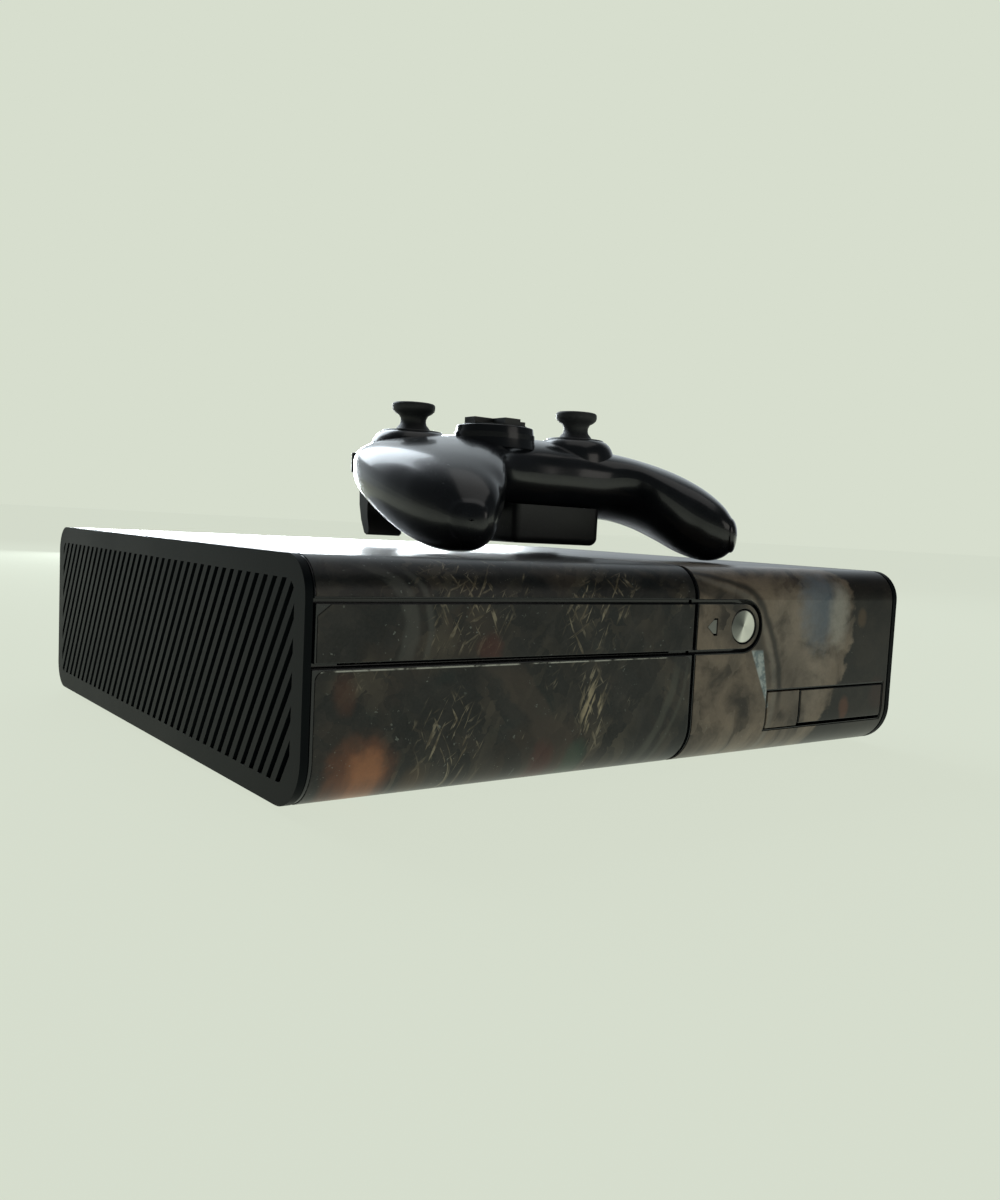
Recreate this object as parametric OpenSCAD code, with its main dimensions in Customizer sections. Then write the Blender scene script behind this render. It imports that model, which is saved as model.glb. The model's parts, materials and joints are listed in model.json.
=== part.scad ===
// Game console lying flat, with a wireless controller resting on its lid.
// Frame: +Z up, origin on the ground under the middle of the console,
// the console's front faces -Y and its disc tray opens towards -Y.

/* [Console case] */
// Width of the console, end cap to end cap
body_w = 270; // [220:1:330]
// Depth of the console, front face to rear face
body_d = 264; // [220:1:320]
// Height of the lid above the ground
body_h = 75; // [72:1:90]
// Height of the rubber feet below the case
foot_h = 2; // [1.5:0.5:4]
// Wall thickness of the plastic mouldings
wall = 2.4; // [2:0.1:3]
// Radius of the long edge between lid and front
edge_top_r = 12; // [9:1:14]
// Radius of the long edge between front and underside
edge_bottom_r = 16; // [12:1:18]
// Radius of the two long edges at the rear
edge_rear_r = 11; // [8:1:14]
// Thickness of the printed vinyl wrap
vinyl_t = 0.3; // [0.2:0.05:0.4]

/* [End caps] */
// Thickness of each end cap
cap_t = 2.4; // [2:0.2:4]
// Gap between an end cap and the panels
cap_gap = 0.4; // [0.3:0.1:1]
// Width of the plain rim round the ribs
rim_w = 7; // [5:0.5:12]
// Spacing of the slanted vent ribs along the case
rib_pitch = 6.5; // [5:0.5:10]
// Width of each open slot between ribs
rib_slot = 3; // [2:0.25:3.5]
// Thickness of the dust screen left behind the ribs
cap_skin = 0.6; // [0.4:0.1:1]
// Lean of the ribs towards the front
rib_lean = 34; // [20:1:45]

/* [Front] */
// Seam between the left and right front panels, from the middle
seam_x = 15.6; // [5:0.5:30]
// Width of the seam
seam_w = 1.2; // [0.8:0.1:2]
// Middle height of the tray strip
strip_z = 53.3; // [52:0.1:56]
// Height of the tray strip's face
strip_h = 17; // [16:0.1:19]
// Width of the dark groove round the strip
groove_w = 1.4; // [1:0.1:2]
// Radius of the power button
power_r = 6.3; // [5:0.1:7]
// Height of the front connector flap's opening
flap_h = 15.4; // [14:0.2:17]
// Width of the pairing button's face
pair_w = 18.4; // [14:0.2:20]
// Travel of the disc tray
tray_travel = 128; // [100:1:130]
// Diameter of the disc recess
disc_d = 121; // [120:1:122]

/* [Controller] */
// Place of the controller's guide button across the console
pad_x = 11; // [-20:1:30]
// Place of the controller's guide button along the console
pad_y = -8; // [-30:1:10]
// Wall thickness of the controller's shells
pad_wall = 2.2; // [1.8:0.1:2.6]
// Radius of each thumb stick's cap
stick_cap_r = 8.8; // [7.5:0.1:9.5]
// Radius of each thumb stick's dome
stick_dome_r = 13; // [11.5:0.25:13.5]
// Radius of the direction pad
dpad_r = 13; // [11:0.5:13.5]
// Radius of each face button
face_r = 4.9; // [4:0.1:5.4]
// Distance of each face button from the middle of the group
face_spread = 12.4; // [11.5:0.1:13]
// Radius of the guide button
guide_r = 9; // [7:0.5:10]

/* [Hidden] */
$fn = 48;
eps = 0.01;
clear = 0.3;
run = 0.05;

// ---- derived places of the console ----
front_y = -body_d / 2;
rear_y = body_d / 2;
panel_x = body_w / 2 - cap_t - cap_gap;
wrap_y = front_y + edge_bottom_r + 2;      // where the front panels end on lid and underside
split_rear_low = foot_h + edge_rear_r + 7;
split_rear_high = body_h - edge_rear_r - 7;
strip_low = strip_z - strip_h / 2;
strip_high = strip_z + strip_h / 2;
slot_low = strip_low - groove_w;
slot_high = strip_high + groove_w;
strip_end_x = seam_x + seam_w / 2 + 33.2;  // right end of the strip's face
power_x = strip_end_x - strip_h / 2;
face_y = front_y + vinyl_t;
backing_y = face_y + wall + 0.9;
eject_x = seam_x + 8.8;

// flap bay, low on the right of the front
bay_x0 = 56.4;
bay_x1 = panel_x - 2.6;
bay_z0 = foot_h + 10.9;
bay_z1 = bay_z0 + flap_h;
flap_gap = 0.6;
flap_x0 = bay_x0 + flap_gap + pair_w + 1;
flap_z0 = bay_z0 + 1.3;

// drive and tray
drive_x0 = -panel_x + 5;
drive_x1 = seam_x - 5;
drive_y1 = front_y + 182;
drive_z0 = slot_low - 3.5;
drive_y0 = backing_y + wall + 0.4;
// the case's top front edge stays inside the rounding of the front panel
drive_z1 = body_h - edge_top_r - clear - 0.1
    + sqrt(pow(edge_top_r - vinyl_t - wall, 2) - pow(front_y + edge_top_r - drive_y0, 2));
sheet = 1;
tray_w = 126;
tray_x = (drive_x0 + drive_x1) / 2;
tray_z0 = strip_z - 4.6;
tray_t = 6;
tray_back = front_y + 166;
disc_x = tray_x;
disc_y = face_y + wall + 7.8 + disc_d / 2;
rack_x = tray_x - tray_w / 2 + 8;          // pitch line of the rack under the tray
gear_m = 1;
gear_teeth = 16;
gear_r = gear_m * gear_teeth / 2;
pinion_x = rack_x + gear_r;
pinion_y = front_y + 28;
hub_r = 7.4;
sled_x = disc_x;
rail_gap = 34;
rail_r = 1.5;

// fan, board, hard drive
board_z = foot_h + wall + 5;
board_t = 1.6;
fan_x = 72;
fan_y = 44;
fan_r = 43;
fan_z0 = 42;
fan_h = 22;
hdd = [100, 70, 12.5];
hdd_x1 = panel_x - 6;
hdd_y0 = front_y + 34;
hdd_z0 = board_z + board_t + 3;
door_y0 = hdd_y0 - 4;
door_y1 = hdd_y0 + hdd[1] + 4;
door_z0 = foot_h + 10.4;
door_z1 = hdd_z0 + hdd[2] + 4;

// rear sockets: middle x, width, height
ports = [[-96, 14, 11], [-70, 16, 13], [-46, 14, 6.5], [-24, 14, 6.5], [2, 15, 6], [26, 13, 11]];
port_depth = 16;
port_z0 = split_rear_low + 3;
jack_x = 48;
jack_r = 1.8;
jack_len = 12;
jack_z = port_z0 + 5;

// ---- derived places of the controller, in its own frame: origin on the lid under the guide ----
stick_left = [-43, 0, 37.5];
stick_right = [21, -28, 39];
dpad_at = [-21, -28, 40];
stick_reach = 22;                          // cap's top above the stick's pivot
well_top = 10.7;                           // collar's top above the stick's pivot
well_step = well_top - 2.9;                // foot of the narrow part of a well
face_at = [43, 0];
face_lift = 3;
menu_x = 17.5;
menu_r = 2.8;
ring_r = guide_r + 2.4;
board_low = 24;
board_top = board_low + 1.6;
button_low = board_top + 3.8;
key_low = 33;
north_low = 39.2;
trigger_x = 44;
trigger_w = 16;
trigger_pivot = [6, 27];
bumper_low = 29.5;
bumper_high = 37.5;
bumper_pivot = [24, 12];
motor_at = [58, -56, 19.5];
motor_r = 8;
pack_w = 44;
pack_y = [-47, 6];
pack_z = [4.5, 20];
boss_y = -20;
boss_x = stick_right[0] + sqrt(pow(stick_dome_r + 4, 2) - pow(boss_y - stick_right[1], 2));  // clear of the dome
pad_screw_at = [for (x = [-1, 1], p = [[boss_x, boss_y, 17, 19.4, 30.5], [60, -28, 12.4, 14.8, 25.5]])
    [x * p[0], p[1], p[2], p[3], p[4]]];

// Controller body, one row for each rib of the shell from the middle out to the grip's tip:
// inner edge x, y, outer edge x, y, height of the seam, rise of the top, drop of the underside
pad_ribs = [
    [0, -46, 0, 24, 33, 15.5, 18],
    [12, -46, 20, 24.5, 33, 15.5, 18],
    [22, -47.5, 38, 23.5, 33, 14.5, 18],
    [29, -50, 53, 19, 33.8, 12.2, 17.5],
    [33.5, -54, 64, 10, 33.6, 10.9, 17.8],
    [36.5, -59, 71, -4, 32, 10.5, 19],
    [39.5, -64.5, 75, -20, 28.5, 11.5, 20],
    [43.5, -70, 76.5, -36, 24.3, 12.4, 20.4],
    [48.5, -75, 76, -51, 20, 12.5, 18.8],
    [52.2, -79.4, 74.8, -61.6, 17.2, 11.2, 16.4],
    [56.6, -83, 73, -70, 15, 8.9, 12.8],
    [60.3, -84.6, 71.5, -75.8, 13.4, 6, 8.6]];
pad_tip = [66.6, -83.2, 12.2];
pad_last = len(pad_ribs) - 1;
pad_steps = 12;
pad_power = 0.8;

// ================= shared shapes =================

// Section of the case across its width, in (y, z), pulled in by i on every side
module case_section(i = 0) {
    y0 = front_y + i;
    y1 = rear_y - i;
    z0 = foot_h + i;
    z1 = body_h - i;
    corners = [[y0, z0, 1, 1, edge_bottom_r - i], [y0, z1, 1, -1, edge_top_r - i],
               [y1, z0, -1, 1, edge_rear_r - i], [y1, z1, -1, -1, edge_rear_r - i]];
    difference() {
        translate([y0, z0]) square([y1 - y0, z1 - z0]);
        for (c = corners)
            translate([c[0] + (c[2] < 0 ? -c[4] : -1), c[1] + (c[3] < 0 ? -c[4] : -1)])
                square(c[4] + 1);
    }
    for (c = corners)
        translate([c[0] + c[2] * c[4], c[1] + c[3] * c[4]]) circle(c[4]);
}

// Extrudes a (y, z) section along X from x0 to x1
module along_x(x0, x1) {
    translate([x0, 0, 0]) rotate([90, 0, 90]) linear_extrude(x1 - x0) children();
}

// Extrudes an (x, z) outline along Y from y0 to y1
module along_y(y0, y1) {
    translate([0, y1, 0]) rotate([90, 0, 0]) linear_extrude(y1 - y0) children();
}

module box(x, y, z) {
    translate([x[0], y[0], z[0]]) cube([x[1] - x[0], y[1] - y[0], z[1] - z[0]]);
}

module case_skin(outer, inner) {
    difference() {
        case_section(outer);
        case_section(inner);
    }
}

// Outline of the tray strip in (x, z): square at the left, round at the right
module strip_outline(x0, grow) {
    r = strip_h / 2 + grow;
    translate([x0, strip_z - r]) square([power_x - x0, 2 * r]);
    translate([power_x, strip_z]) circle(r);
}

module rounded_rect(x0, z0, x1, z1, r) {
    translate([x0 + r, z0]) square([x1 - x0 - 2 * r, z1 - z0]);
    translate([x0, z0 + r]) square([x1 - x0, z1 - z0 - 2 * r]);
    for (x = [x0 + r, x1 - r], z = [z0 + r, z1 - r]) translate([x, z]) circle(r);
}

// ================= console case =================

module front_region() {
    box([-body_w, body_w], [front_y - 1, wrap_y], [0, body_h + 1]);
}

module front_shell(x0, x1) {
    intersection() {
        along_x(x0, x1) case_skin(vinyl_t, vinyl_t + wall);
        front_region();
    }
}

module front_panel_left() {
    x0 = -panel_x;
    x1 = seam_x - seam_w / 2;
    color([0.05, 0.05, 0.055]) difference() {
        union() {
            difference() {
                front_shell(x0, x1);
                box([x0 - 1, x1 + 1], [front_y - 1, backing_y], [slot_low, slot_high]);
            }
            box([x0, x1], [backing_y, backing_y + wall], [slot_low - 4, slot_high + 3]);
            for (z = [slot_low - 4, slot_high])
                box([x0, x1], [face_y + wall - eps, backing_y + eps], [z, z + (z < strip_z ? 4 : 3)]);
        }
        box([tray_x - tray_w / 2 - 1.5, tray_x + tray_w / 2 + 1.5],
            [backing_y - 1, backing_y + wall + 1], [tray_z0 - 4.6, tray_z0 + tray_t + 2]);
    }
}

module front_panel_right() {
    x0 = seam_x + seam_w / 2;
    color([0.05, 0.05, 0.055]) difference() {
        union() {
            front_shell(x0, panel_x);
            // recessed pocket behind the button strip
            box([x0, strip_end_x + 4], [face_y + wall - eps, backing_y + wall], [slot_low - 3, slot_high + 3]);
            // box of the connector bay
            box([bay_x0 - 2, bay_x1 + 2], [face_y + wall - eps, face_y + 14], [bay_z0 - 2, bay_z1 + 2]);
            // bosses of the two small boards
            for (x = [seam_x + 5, strip_end_x + 1]) translate([x, backing_y + wall - eps, slot_low + 1.5])
                rotate([-90, 0, 0]) cylinder(h = face_y + 14.2 - backing_y - wall + eps, r = 1.6);
            for (x = [pair_x - 6, pair_x + 6]) translate([x, face_y + 14 - eps, bay_z0 + 2.5])
                rotate([-90, 0, 0]) cylinder(h = 5.2 + eps, r = 1.6);
        }
        along_y(front_y - 1, backing_y) strip_outline(x0 - 1, groove_w);
        // holes behind the power and eject buttons
        for (b = [[power_x, power_r + clear], [eject_x, 3.4]])
            translate([b[0], backing_y - 1, strip_z]) rotate([-90, 0, 0]) cylinder(h = wall + 2, r = b[1]);
        box([bay_x0, bay_x1], [front_y - 1, face_y + 12], [bay_z0, bay_z1]);
        // outlets for the two sockets and the pairing button's plunger
        for (x = usb_x) box([x - 7.3, x + 7.3], [face_y + 11, face_y + 15], [usb_z - 3.4, usb_z + 3.4]);
        translate([pair_x, face_y + 11, usb_z]) rotate([-90, 0, 0]) cylinder(h = 4, r = 3);
    }
}
usb_z = flap_z0 + 6.8;
usb_x = [flap_x0 + 14, flap_x0 + 36];
pair_x = bay_x0 + flap_gap + pair_w / 2;

module upper_shell() {
    color([0.07, 0.07, 0.075]) difference() {
        intersection() {
            along_x(-panel_x, panel_x) case_skin(vinyl_t, vinyl_t + wall);
            box([-body_w, body_w], [wrap_y + clear, rear_y + 1], [split_rear_high + clear, body_h + 1]);
        }
        // styling groove that carries the front seam across the lid
        box([seam_x - seam_w / 2, seam_x + seam_w / 2], [wrap_y, rear_y - edge_rear_r],
            [body_h - vinyl_t - 0.7, body_h + 1]);
    }
}

module lower_shell() {
    floor_z = foot_h + vinyl_t + wall;
    color([0.05, 0.05, 0.055]) {
        difference() {
            intersection() {
                along_x(-panel_x, panel_x) case_skin(vinyl_t, vinyl_t + wall);
                box([-body_w, body_w], [wrap_y + clear, rear_y + 1], [0, split_rear_low - clear]);
            }
            for (f = foot_at) translate([f[0], f[1], 0]) cylinder(h = foot_h + vinyl_t + 0.8, r = foot_r + 0.2);
            for (s = screw_at) translate([s[0], s[1], 0]) cylinder(h = 10, r = 1.6);
        }
        // posts that carry the main board
        for (s = screw_at) translate([s[0], s[1], floor_z - eps]) difference() {
            cylinder(h = board_z - floor_z + eps, r = 4);
            translate([0, 0, -1]) cylinder(h = 20, r = 1.6);
        }
        // posts under the disc drive
        for (s = drive_post_at) translate([s[0], s[1], floor_z - eps]) cylinder(h = drive_z0 - floor_z + eps, r = 3.5);
        // guides of the hard drive
        for (g = [[hdd_y0 - 2.6, hdd_y0 - 0.4, hdd_y0 - 0.5, hdd_y0 + 4],
                  [hdd_y0 + hdd[1] + 0.4, hdd_y0 + hdd[1] + 2.6, hdd_y0 + hdd[1] - 4, hdd_y0 + hdd[1] + 0.5]]) {
            box([hdd_x1 - 96, hdd_x1 - 2], [g[0], g[1]], [floor_z - eps, hdd_z0 + 7]);
            box([hdd_x1 - 96, hdd_x1 - 2], [g[2], g[3]], [floor_z - eps, hdd_z0 - 0.3]);
        }
    }
}
foot_r = 9;
foot_at = [for (x = [-1, 1], y = [-1, 1]) [x * (body_w / 2 - 32), y * (body_d / 2 - 34)]];
screw_at = [[-104, -88], [10, -88], [-104, rear_y - 24], [112, rear_y - 24]];
drive_post_at = [for (x = [drive_x0 + 4, drive_x1 - 5], y = [front_y + 28, drive_y1 - 10]) [x, y]];

module rear_panel() {
    color([0.06, 0.06, 0.065]) difference() {
        intersection() {
            along_x(-panel_x, panel_x) case_skin(vinyl_t, vinyl_t + wall);
            box([-body_w, body_w], [rear_y - edge_rear_r - 3, rear_y + 1], [split_rear_low, split_rear_high]);
        }
        for (p = ports)
            box([p[0] - p[1] / 2 - clear, p[0] + p[1] / 2 + clear], [rear_y - 5, rear_y + 1],
                [port_z0 - clear, port_z0 + p[2] + clear]);
        translate([jack_x, rear_y - 6, jack_z]) rotate([-90, 0, 0]) cylinder(h = 8, r = 4.3);
        // exhaust slots
        for (i = [0:11]) box([70 + i * 4.4, 72.2 + i * 4.4], [rear_y - 6, rear_y + 1],
                             [split_rear_low + 4, split_rear_high - 4]);
    }
}

module cap_slots(x0, x1) {
    count = ceil(body_d / rib_pitch / 2) + 8;
    intersection() {
        along_x(x0, x1) case_section(rim_w);
        for (k = [-count:count])
            translate([(x0 + x1) / 2, k * rib_pitch, body_h / 2]) rotate([rib_lean, 0, 0])
                cube([x1 - x0 + 2, rib_slot * cos(rib_lean), 4 * body_h], center = true);
    }
}

module end_cap_blank(side) {
    x0 = side < 0 ? -body_w / 2 : body_w / 2 - cap_t;
    difference() {
        along_x(x0, x0 + cap_t) case_section(0);
        cap_slots(side < 0 ? x0 - 1 : x0 + cap_skin, side < 0 ? x0 + cap_t - cap_skin : x0 + cap_t + 1);
    }
}

module left_end_cap() {
    color([0.045, 0.05, 0.055]) end_cap_blank(-1);
}

module right_end_cap() {
    color([0.045, 0.05, 0.055]) difference() {
        end_cap_blank(1);
        box([0, body_w], [door_y0 - 0.4, door_y1 + 0.4], [door_z0 - 0.9, door_z1 + 0.4]);
    }
}

module hard_drive_door() {
    rim = 2.4;
    color([0.045, 0.05, 0.055]) difference() {
        box([body_w / 2 - cap_t, body_w / 2], [door_y0, door_y1], [door_z0, door_z1]);
        intersection() {
            cap_slots(body_w / 2 - cap_t + cap_skin, body_w / 2 + 1);
            box([0, body_w], [door_y0 + rim, door_y1 - rim], [door_z0 + rim, door_z1 - rim]);
        }
    }
}

module button_strip() {
    color([0.05, 0.05, 0.055]) difference() {
        along_y(face_y, face_y + wall) difference() {
            strip_outline(seam_x + seam_w / 2 + 0.3, 0);
            translate([power_x, strip_z]) circle(power_r + clear);
            eject_outline(clear);
        }
        box([-body_w, seam_x + seam_w / 2 + 0.3], [front_y - 1, 0], [0, body_h]);
    }
}

// Triangle with a bar beside it, in (x, z)
module eject_outline(grow) {
    h = 2.5 + grow;
    translate([eject_x, strip_z]) {
        polygon([[-2.4 - 1.4 * grow, 0], [0.5 + grow, h + grow], [0.5 + grow, -h - grow]]);
        translate([0.5, -h - grow]) square([1.6 + grow, 2 * (h + grow)]);
    }
}

module rubber_feet() {
    color([0.02, 0.02, 0.02]) for (f = foot_at) translate([f[0], f[1], 0])
        cylinder(h = foot_h + vinyl_t + 0.6, r = foot_r);
}

// Printed film on the fixed panels, one solid for each cut piece
module vinyl_wrap() {
    edge = 0.5;
    xl = -panel_x + edge;
    xs = seam_x - seam_w / 2 - edge;
    xr = seam_x + seam_w / 2 + edge;
    color([0.2, 0.19, 0.17]) {
        // lid and upper front, left of the seam
        vinyl_layer(xl, xs) box([xl, xs], [front_y - 1, rear_y - edge_rear_r - 1], [slot_high + edge, body_h + 1]);
        // front below the strip, left of the seam
        vinyl_layer(xl, xs) along_y(front_y - 1, wrap_y - 1)
            rounded_rect(xl + 0.5, foot_h - 6, xs - 0.3, slot_low - edge, 3);
        // lid and whole front, right of the seam
        vinyl_layer(xr, panel_x - edge) difference() {
            union() {
                box([xr, panel_x], [front_y - 1, front_y + 40], [0, body_h + 1]);
                box([xr, panel_x], [front_y, rear_y - edge_rear_r - 1], [body_h / 2, body_h + 1]);
            }
            box([0, body_w], [wrap_y - 1, rear_y], [0, body_h / 2]);
            along_y(front_y - 2, backing_y) strip_outline(xr - 2, groove_w + edge * 0.6);
            box([bay_x0 - edge, bay_x1 + edge], [front_y - 2, front_y + 12], [bay_z0 - edge, bay_z1 + edge]);
        }
        // film on the button strip
        difference() {
            along_y(front_y, face_y) difference() {
                strip_outline(seam_x + seam_w / 2 + 0.6, -0.3);
                translate([power_x, strip_z]) circle(power_r + 0.5);
                eject_outline(0.35);
            }
            box([-body_w, seam_x + seam_w / 2 + 0.6], [front_y - 1, 0], [0, body_h]);
        }
    }
}

module vinyl_layer(x0, x1) {
    intersection() {
        along_x(x0, x1) case_skin(0, vinyl_t);
        children();
    }
}

// ================= front controls =================

module power_button() {
    color([0.62, 0.62, 0.6]) {
        translate([power_x, face_y, strip_z]) rotate([-90, 0, 0]) {
            cylinder(h = 4.4, r = power_r);
            translate([0, 0, 4.4 - eps]) cylinder(h = 5, r = 2);
        }
    }
}

module eject_button() {
    color([0.6, 0.6, 0.58]) {
        along_y(face_y, face_y + 3) eject_outline(0);
        translate([eject_x, face_y + 3 - eps, strip_z]) rotate([-90, 0, 0]) cylinder(h = 6.4, r = 1.6);
    }
}

module pairing_button() {
    x0 = bay_x0 + flap_gap;
    color([0.2, 0.19, 0.17]) {
        intersection() {
            along_x(x0, x0 + pair_w) case_skin(0, wall);
            box([x0, x0 + pair_w], [front_y - 1, face_y + 6], [bay_z0 + flap_gap, bay_z1 - flap_gap]);
        }
        translate([pair_x, face_y + 1.2, usb_z]) rotate([-90, 0, 0]) cylinder(h = 14, r = 2.4);
    }
}

module usb_flap() {
    color([0.05, 0.05, 0.055]) intersection() {
        along_x(flap_x0, bay_x1 - flap_gap) case_skin(vinyl_t, wall);
        box([flap_x0, bay_x1], [front_y - 1, face_y + 6], [flap_z0, bay_z1 - flap_gap]);
    }
}

module flap_vinyl() {
    color([0.2, 0.19, 0.17]) vinyl_layer(flap_x0 + 0.3, bay_x1 - flap_gap - 0.3)
        box([flap_x0, bay_x1], [front_y - 1, face_y + 6], [flap_z0 + 0.3, bay_z1 - flap_gap - 0.3]);
}

// Hollow socket with its contact tongue, opening towards -Y
module socket(w, depth, h, tongue) {
    translate([-w / 2, 0, 0]) difference() {
        cube([w, depth, h]);
        translate([0.5, -1, 0.5]) cube([w - 1, depth - 1, h - 1]);
    }
    translate([-w / 2 + 1.8, 2, h / 2]) cube([w - 3.6, depth - 3 + eps, tongue]);
}

module front_usb_ports() {
    color([0.7, 0.7, 0.72]) for (x = usb_x) translate([x, face_y + 9.4, usb_z - 3]) socket(14, 18, 6, 1.6);
}

module front_board() {
    color([0.05, 0.28, 0.12]) {
        // upright board behind the buttons
        difference() {
            box([seam_x + 2, strip_end_x + 8], [face_y + 14.2, face_y + 15.8], [slot_low - 6, slot_high]);
            translate([power_x, face_y + 13, strip_z]) rotate([-90, 0, 0]) cylinder(h = 4, r = 1);
        }
        for (b = [power_x, eject_x]) box([b - 3, b + 3], [face_y + 11.3, face_y + 14.2 + eps], [strip_z - 3, strip_z + 3]);
        // small board with the pairing switch
        box([pair_x - 8, pair_x + 8], [face_y + 19.2, face_y + 20.6], [bay_z0, bay_z1]);
        box([pair_x - 3, pair_x + 3], [face_y + 16.6, face_y + 19.2 + eps], [usb_z - 3, usb_z + 3]);
    }
}

// ================= disc drive =================

module disc_tray() {
    x0 = tray_x - tray_w / 2;
    rack_x0 = rack_x - 4.4;
    color([0.1, 0.1, 0.11]) {
        difference() {
            box([x0, x0 + tray_w], [face_y + wall, tray_back], [tray_z0, tray_z0 + tray_t]);
            translate([disc_x, disc_y, tray_z0 + tray_t - 2]) cylinder(h = 3, d = disc_d);
            translate([disc_x, disc_y, tray_z0 + tray_t - 3]) cylinder(h = 3, d = 82);
            // slot that lets the hub and the lens pass
            box([disc_x - 22, disc_x + 22], [disc_y - 22, tray_back + 1], [tray_z0 - 1, tray_z0 + tray_t + 1]);
        }
        // rack
        translate([rack_x, 0, tray_z0 - 3.6]) linear_extrude(3.6 + eps) {
            translate([-4.4, pinion_y - 8]) square([4.4 - 1.25 * gear_m, tray_back - pinion_y + 8]);
            for (k = [0:floor((tray_back - pinion_y) / (PI * gear_m))])
                translate([0, pinion_y + (k - 0.5) * PI * gear_m]) rack_tooth();
        }
    }
}

// Front strip of the tray, left of the seam
module tray_bezel() {
    color([0.05, 0.05, 0.055])
        box([bezel_x0, bezel_x1], [face_y, face_y + wall], [strip_low, strip_high]);
}
bezel_x0 = -panel_x + 0.6;
bezel_x1 = seam_x - seam_w / 2;

module tray_vinyl() {
    cut = 4;
    color([0.2, 0.19, 0.17]) along_y(front_y, face_y)
        polygon([[bezel_x0 + 0.6, strip_low + 0.3], [bezel_x1 - 0.5, strip_low + 0.3],
                 [bezel_x1 - 0.5, strip_high - 0.3], [bezel_x0 + 0.6 + cut, strip_high - 0.3],
                 [bezel_x0 + 0.6, strip_high - 0.3 - cut * 0.8]]);
}

// One rack tooth pointing along +X from the pitch line, a little thin for backlash
module rack_tooth() {
    half = PI * gear_m / 4 - 0.08;
    slope = tan(20);
    polygon([[-1.3 * gear_m, -half - 1.3 * slope * gear_m], [gear_m, -half + slope * gear_m],
             [gear_m, half - slope * gear_m], [-1.3 * gear_m, half + 1.3 * slope * gear_m]]);
}

function involute(base, a) = [base * (cos(a) + a * PI / 180 * sin(a)), base * (sin(a) - a * PI / 180 * cos(a))];
function turned(p, a) = [p[0] * cos(a) - p[1] * sin(a), p[0] * sin(a) + p[1] * cos(a)];

module tray_pinion() {
    base = gear_r * cos(20);
    root = gear_r - 1.25 * gear_m;
    tip_a = sqrt(pow((gear_r + gear_m) / base, 2) - 1) * 180 / PI;
    pitch_a = sqrt(pow(gear_r / base, 2) - 1) * 180 / PI;
    pitch_p = involute(base, pitch_a);
    half_a = 90 / gear_teeth - 0.55;       // half a tooth at the pitch circle, less backlash
    turn_a = half_a + atan2(pitch_p[1], pitch_p[0]);
    flank = [for (k = [0:4]) turned(involute(base, tip_a * k / 4), -turn_a)];
    tooth = concat([[root - 1, flank[0][1]]], flank,
                   [for (k = [4:-1:0]) [flank[k][0], -flank[k][1]]], [[root - 1, -flank[0][1]]]);
    color([0.85, 0.83, 0.78]) translate([pinion_x, pinion_y, tray_z0 - 3.4]) difference() {
        linear_extrude(3) {
            circle(root);
            for (k = [0:gear_teeth - 1]) rotate(180 + k * 360 / gear_teeth) polygon(tooth);
        }
        translate([0, 0, -1]) cylinder(h = 6, r = 1.5 + run);
    }
}

module drive_case() {
    color([0.72, 0.72, 0.74]) {
        difference() {
            box([drive_x0, drive_x1], [drive_y0, drive_y1], [drive_z0, drive_z1]);
            box([drive_x0 + sheet, drive_x1 - sheet], [front_y, drive_y1 - sheet],
                [drive_z0 + sheet, drive_z1 - sheet]);
        }
        // pin of the pinion, and posts for the sled rails
        translate([pinion_x, pinion_y, drive_z0 + sheet - eps]) cylinder(h = tray_z0 - 0.6 - drive_z0 - sheet, r = 1.5);
        for (s = [-1, 1], y = rail_ends)
            box([sled_x + s * rail_gap / 2 - 2.5, sled_x + s * rail_gap / 2 + 2.5], [y, y + 3],
                [drive_z0 + sheet - eps, drive_z0 + 7]);
    }
}
rail_ends = [disc_y + 16, drive_y1 - 20];
rail_z = drive_z0 + 4.6;

// Spindle motor and the two guide rods of the sled
module drive_deck() {
    color([0.7, 0.7, 0.72]) {
        for (s = [-1, 1]) translate([sled_x + s * rail_gap / 2, rail_ends[0] + 3, rail_z]) rotate([-90, 0, 0])
            cylinder(h = rail_ends[1] - rail_ends[0] - 3, r = rail_r);
        translate([disc_x, disc_y, drive_z0 + sheet]) difference() {
            cylinder(h = 6.6, r = 12.5);
            translate([0, 0, 2]) cylinder(h = 10, r = 1.5 + run);
        }
    }
}

module laser_sled() {
    y0 = rail_ends[0] + 4;
    color([0.2, 0.2, 0.22]) difference() {
        union() {
            box([sled_x - rail_gap / 2 - 3.4, sled_x + rail_gap / 2 + 3.4], [y0, y0 + 22], [rail_z - 2.8, rail_z + 2.8]);
            translate([sled_x, y0 + 10, rail_z + 2.8 - eps]) cylinder(h = 1.2, r = 3);
        }
        for (s = [-1, 1]) translate([sled_x + s * rail_gap / 2, y0 - 1, rail_z]) rotate([-90, 0, 0])
            cylinder(h = 30, r = rail_r + run);
    }
}

module spindle_hub() {
    z0 = drive_z0 + sheet + 7;
    color([0.12, 0.12, 0.13]) translate([disc_x, disc_y, 0]) {
        translate([0, 0, z0]) cylinder(h = tray_z0 + tray_t - z0, r = 14);
        translate([0, 0, tray_z0 + tray_t - eps]) cylinder(h = 1.6, r1 = hub_r, r2 = hub_r - 0.8);
        translate([0, 0, z0 - 5]) cylinder(h = 5 + eps, r = 1.5);
    }
}

// ================= console inside =================

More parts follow.
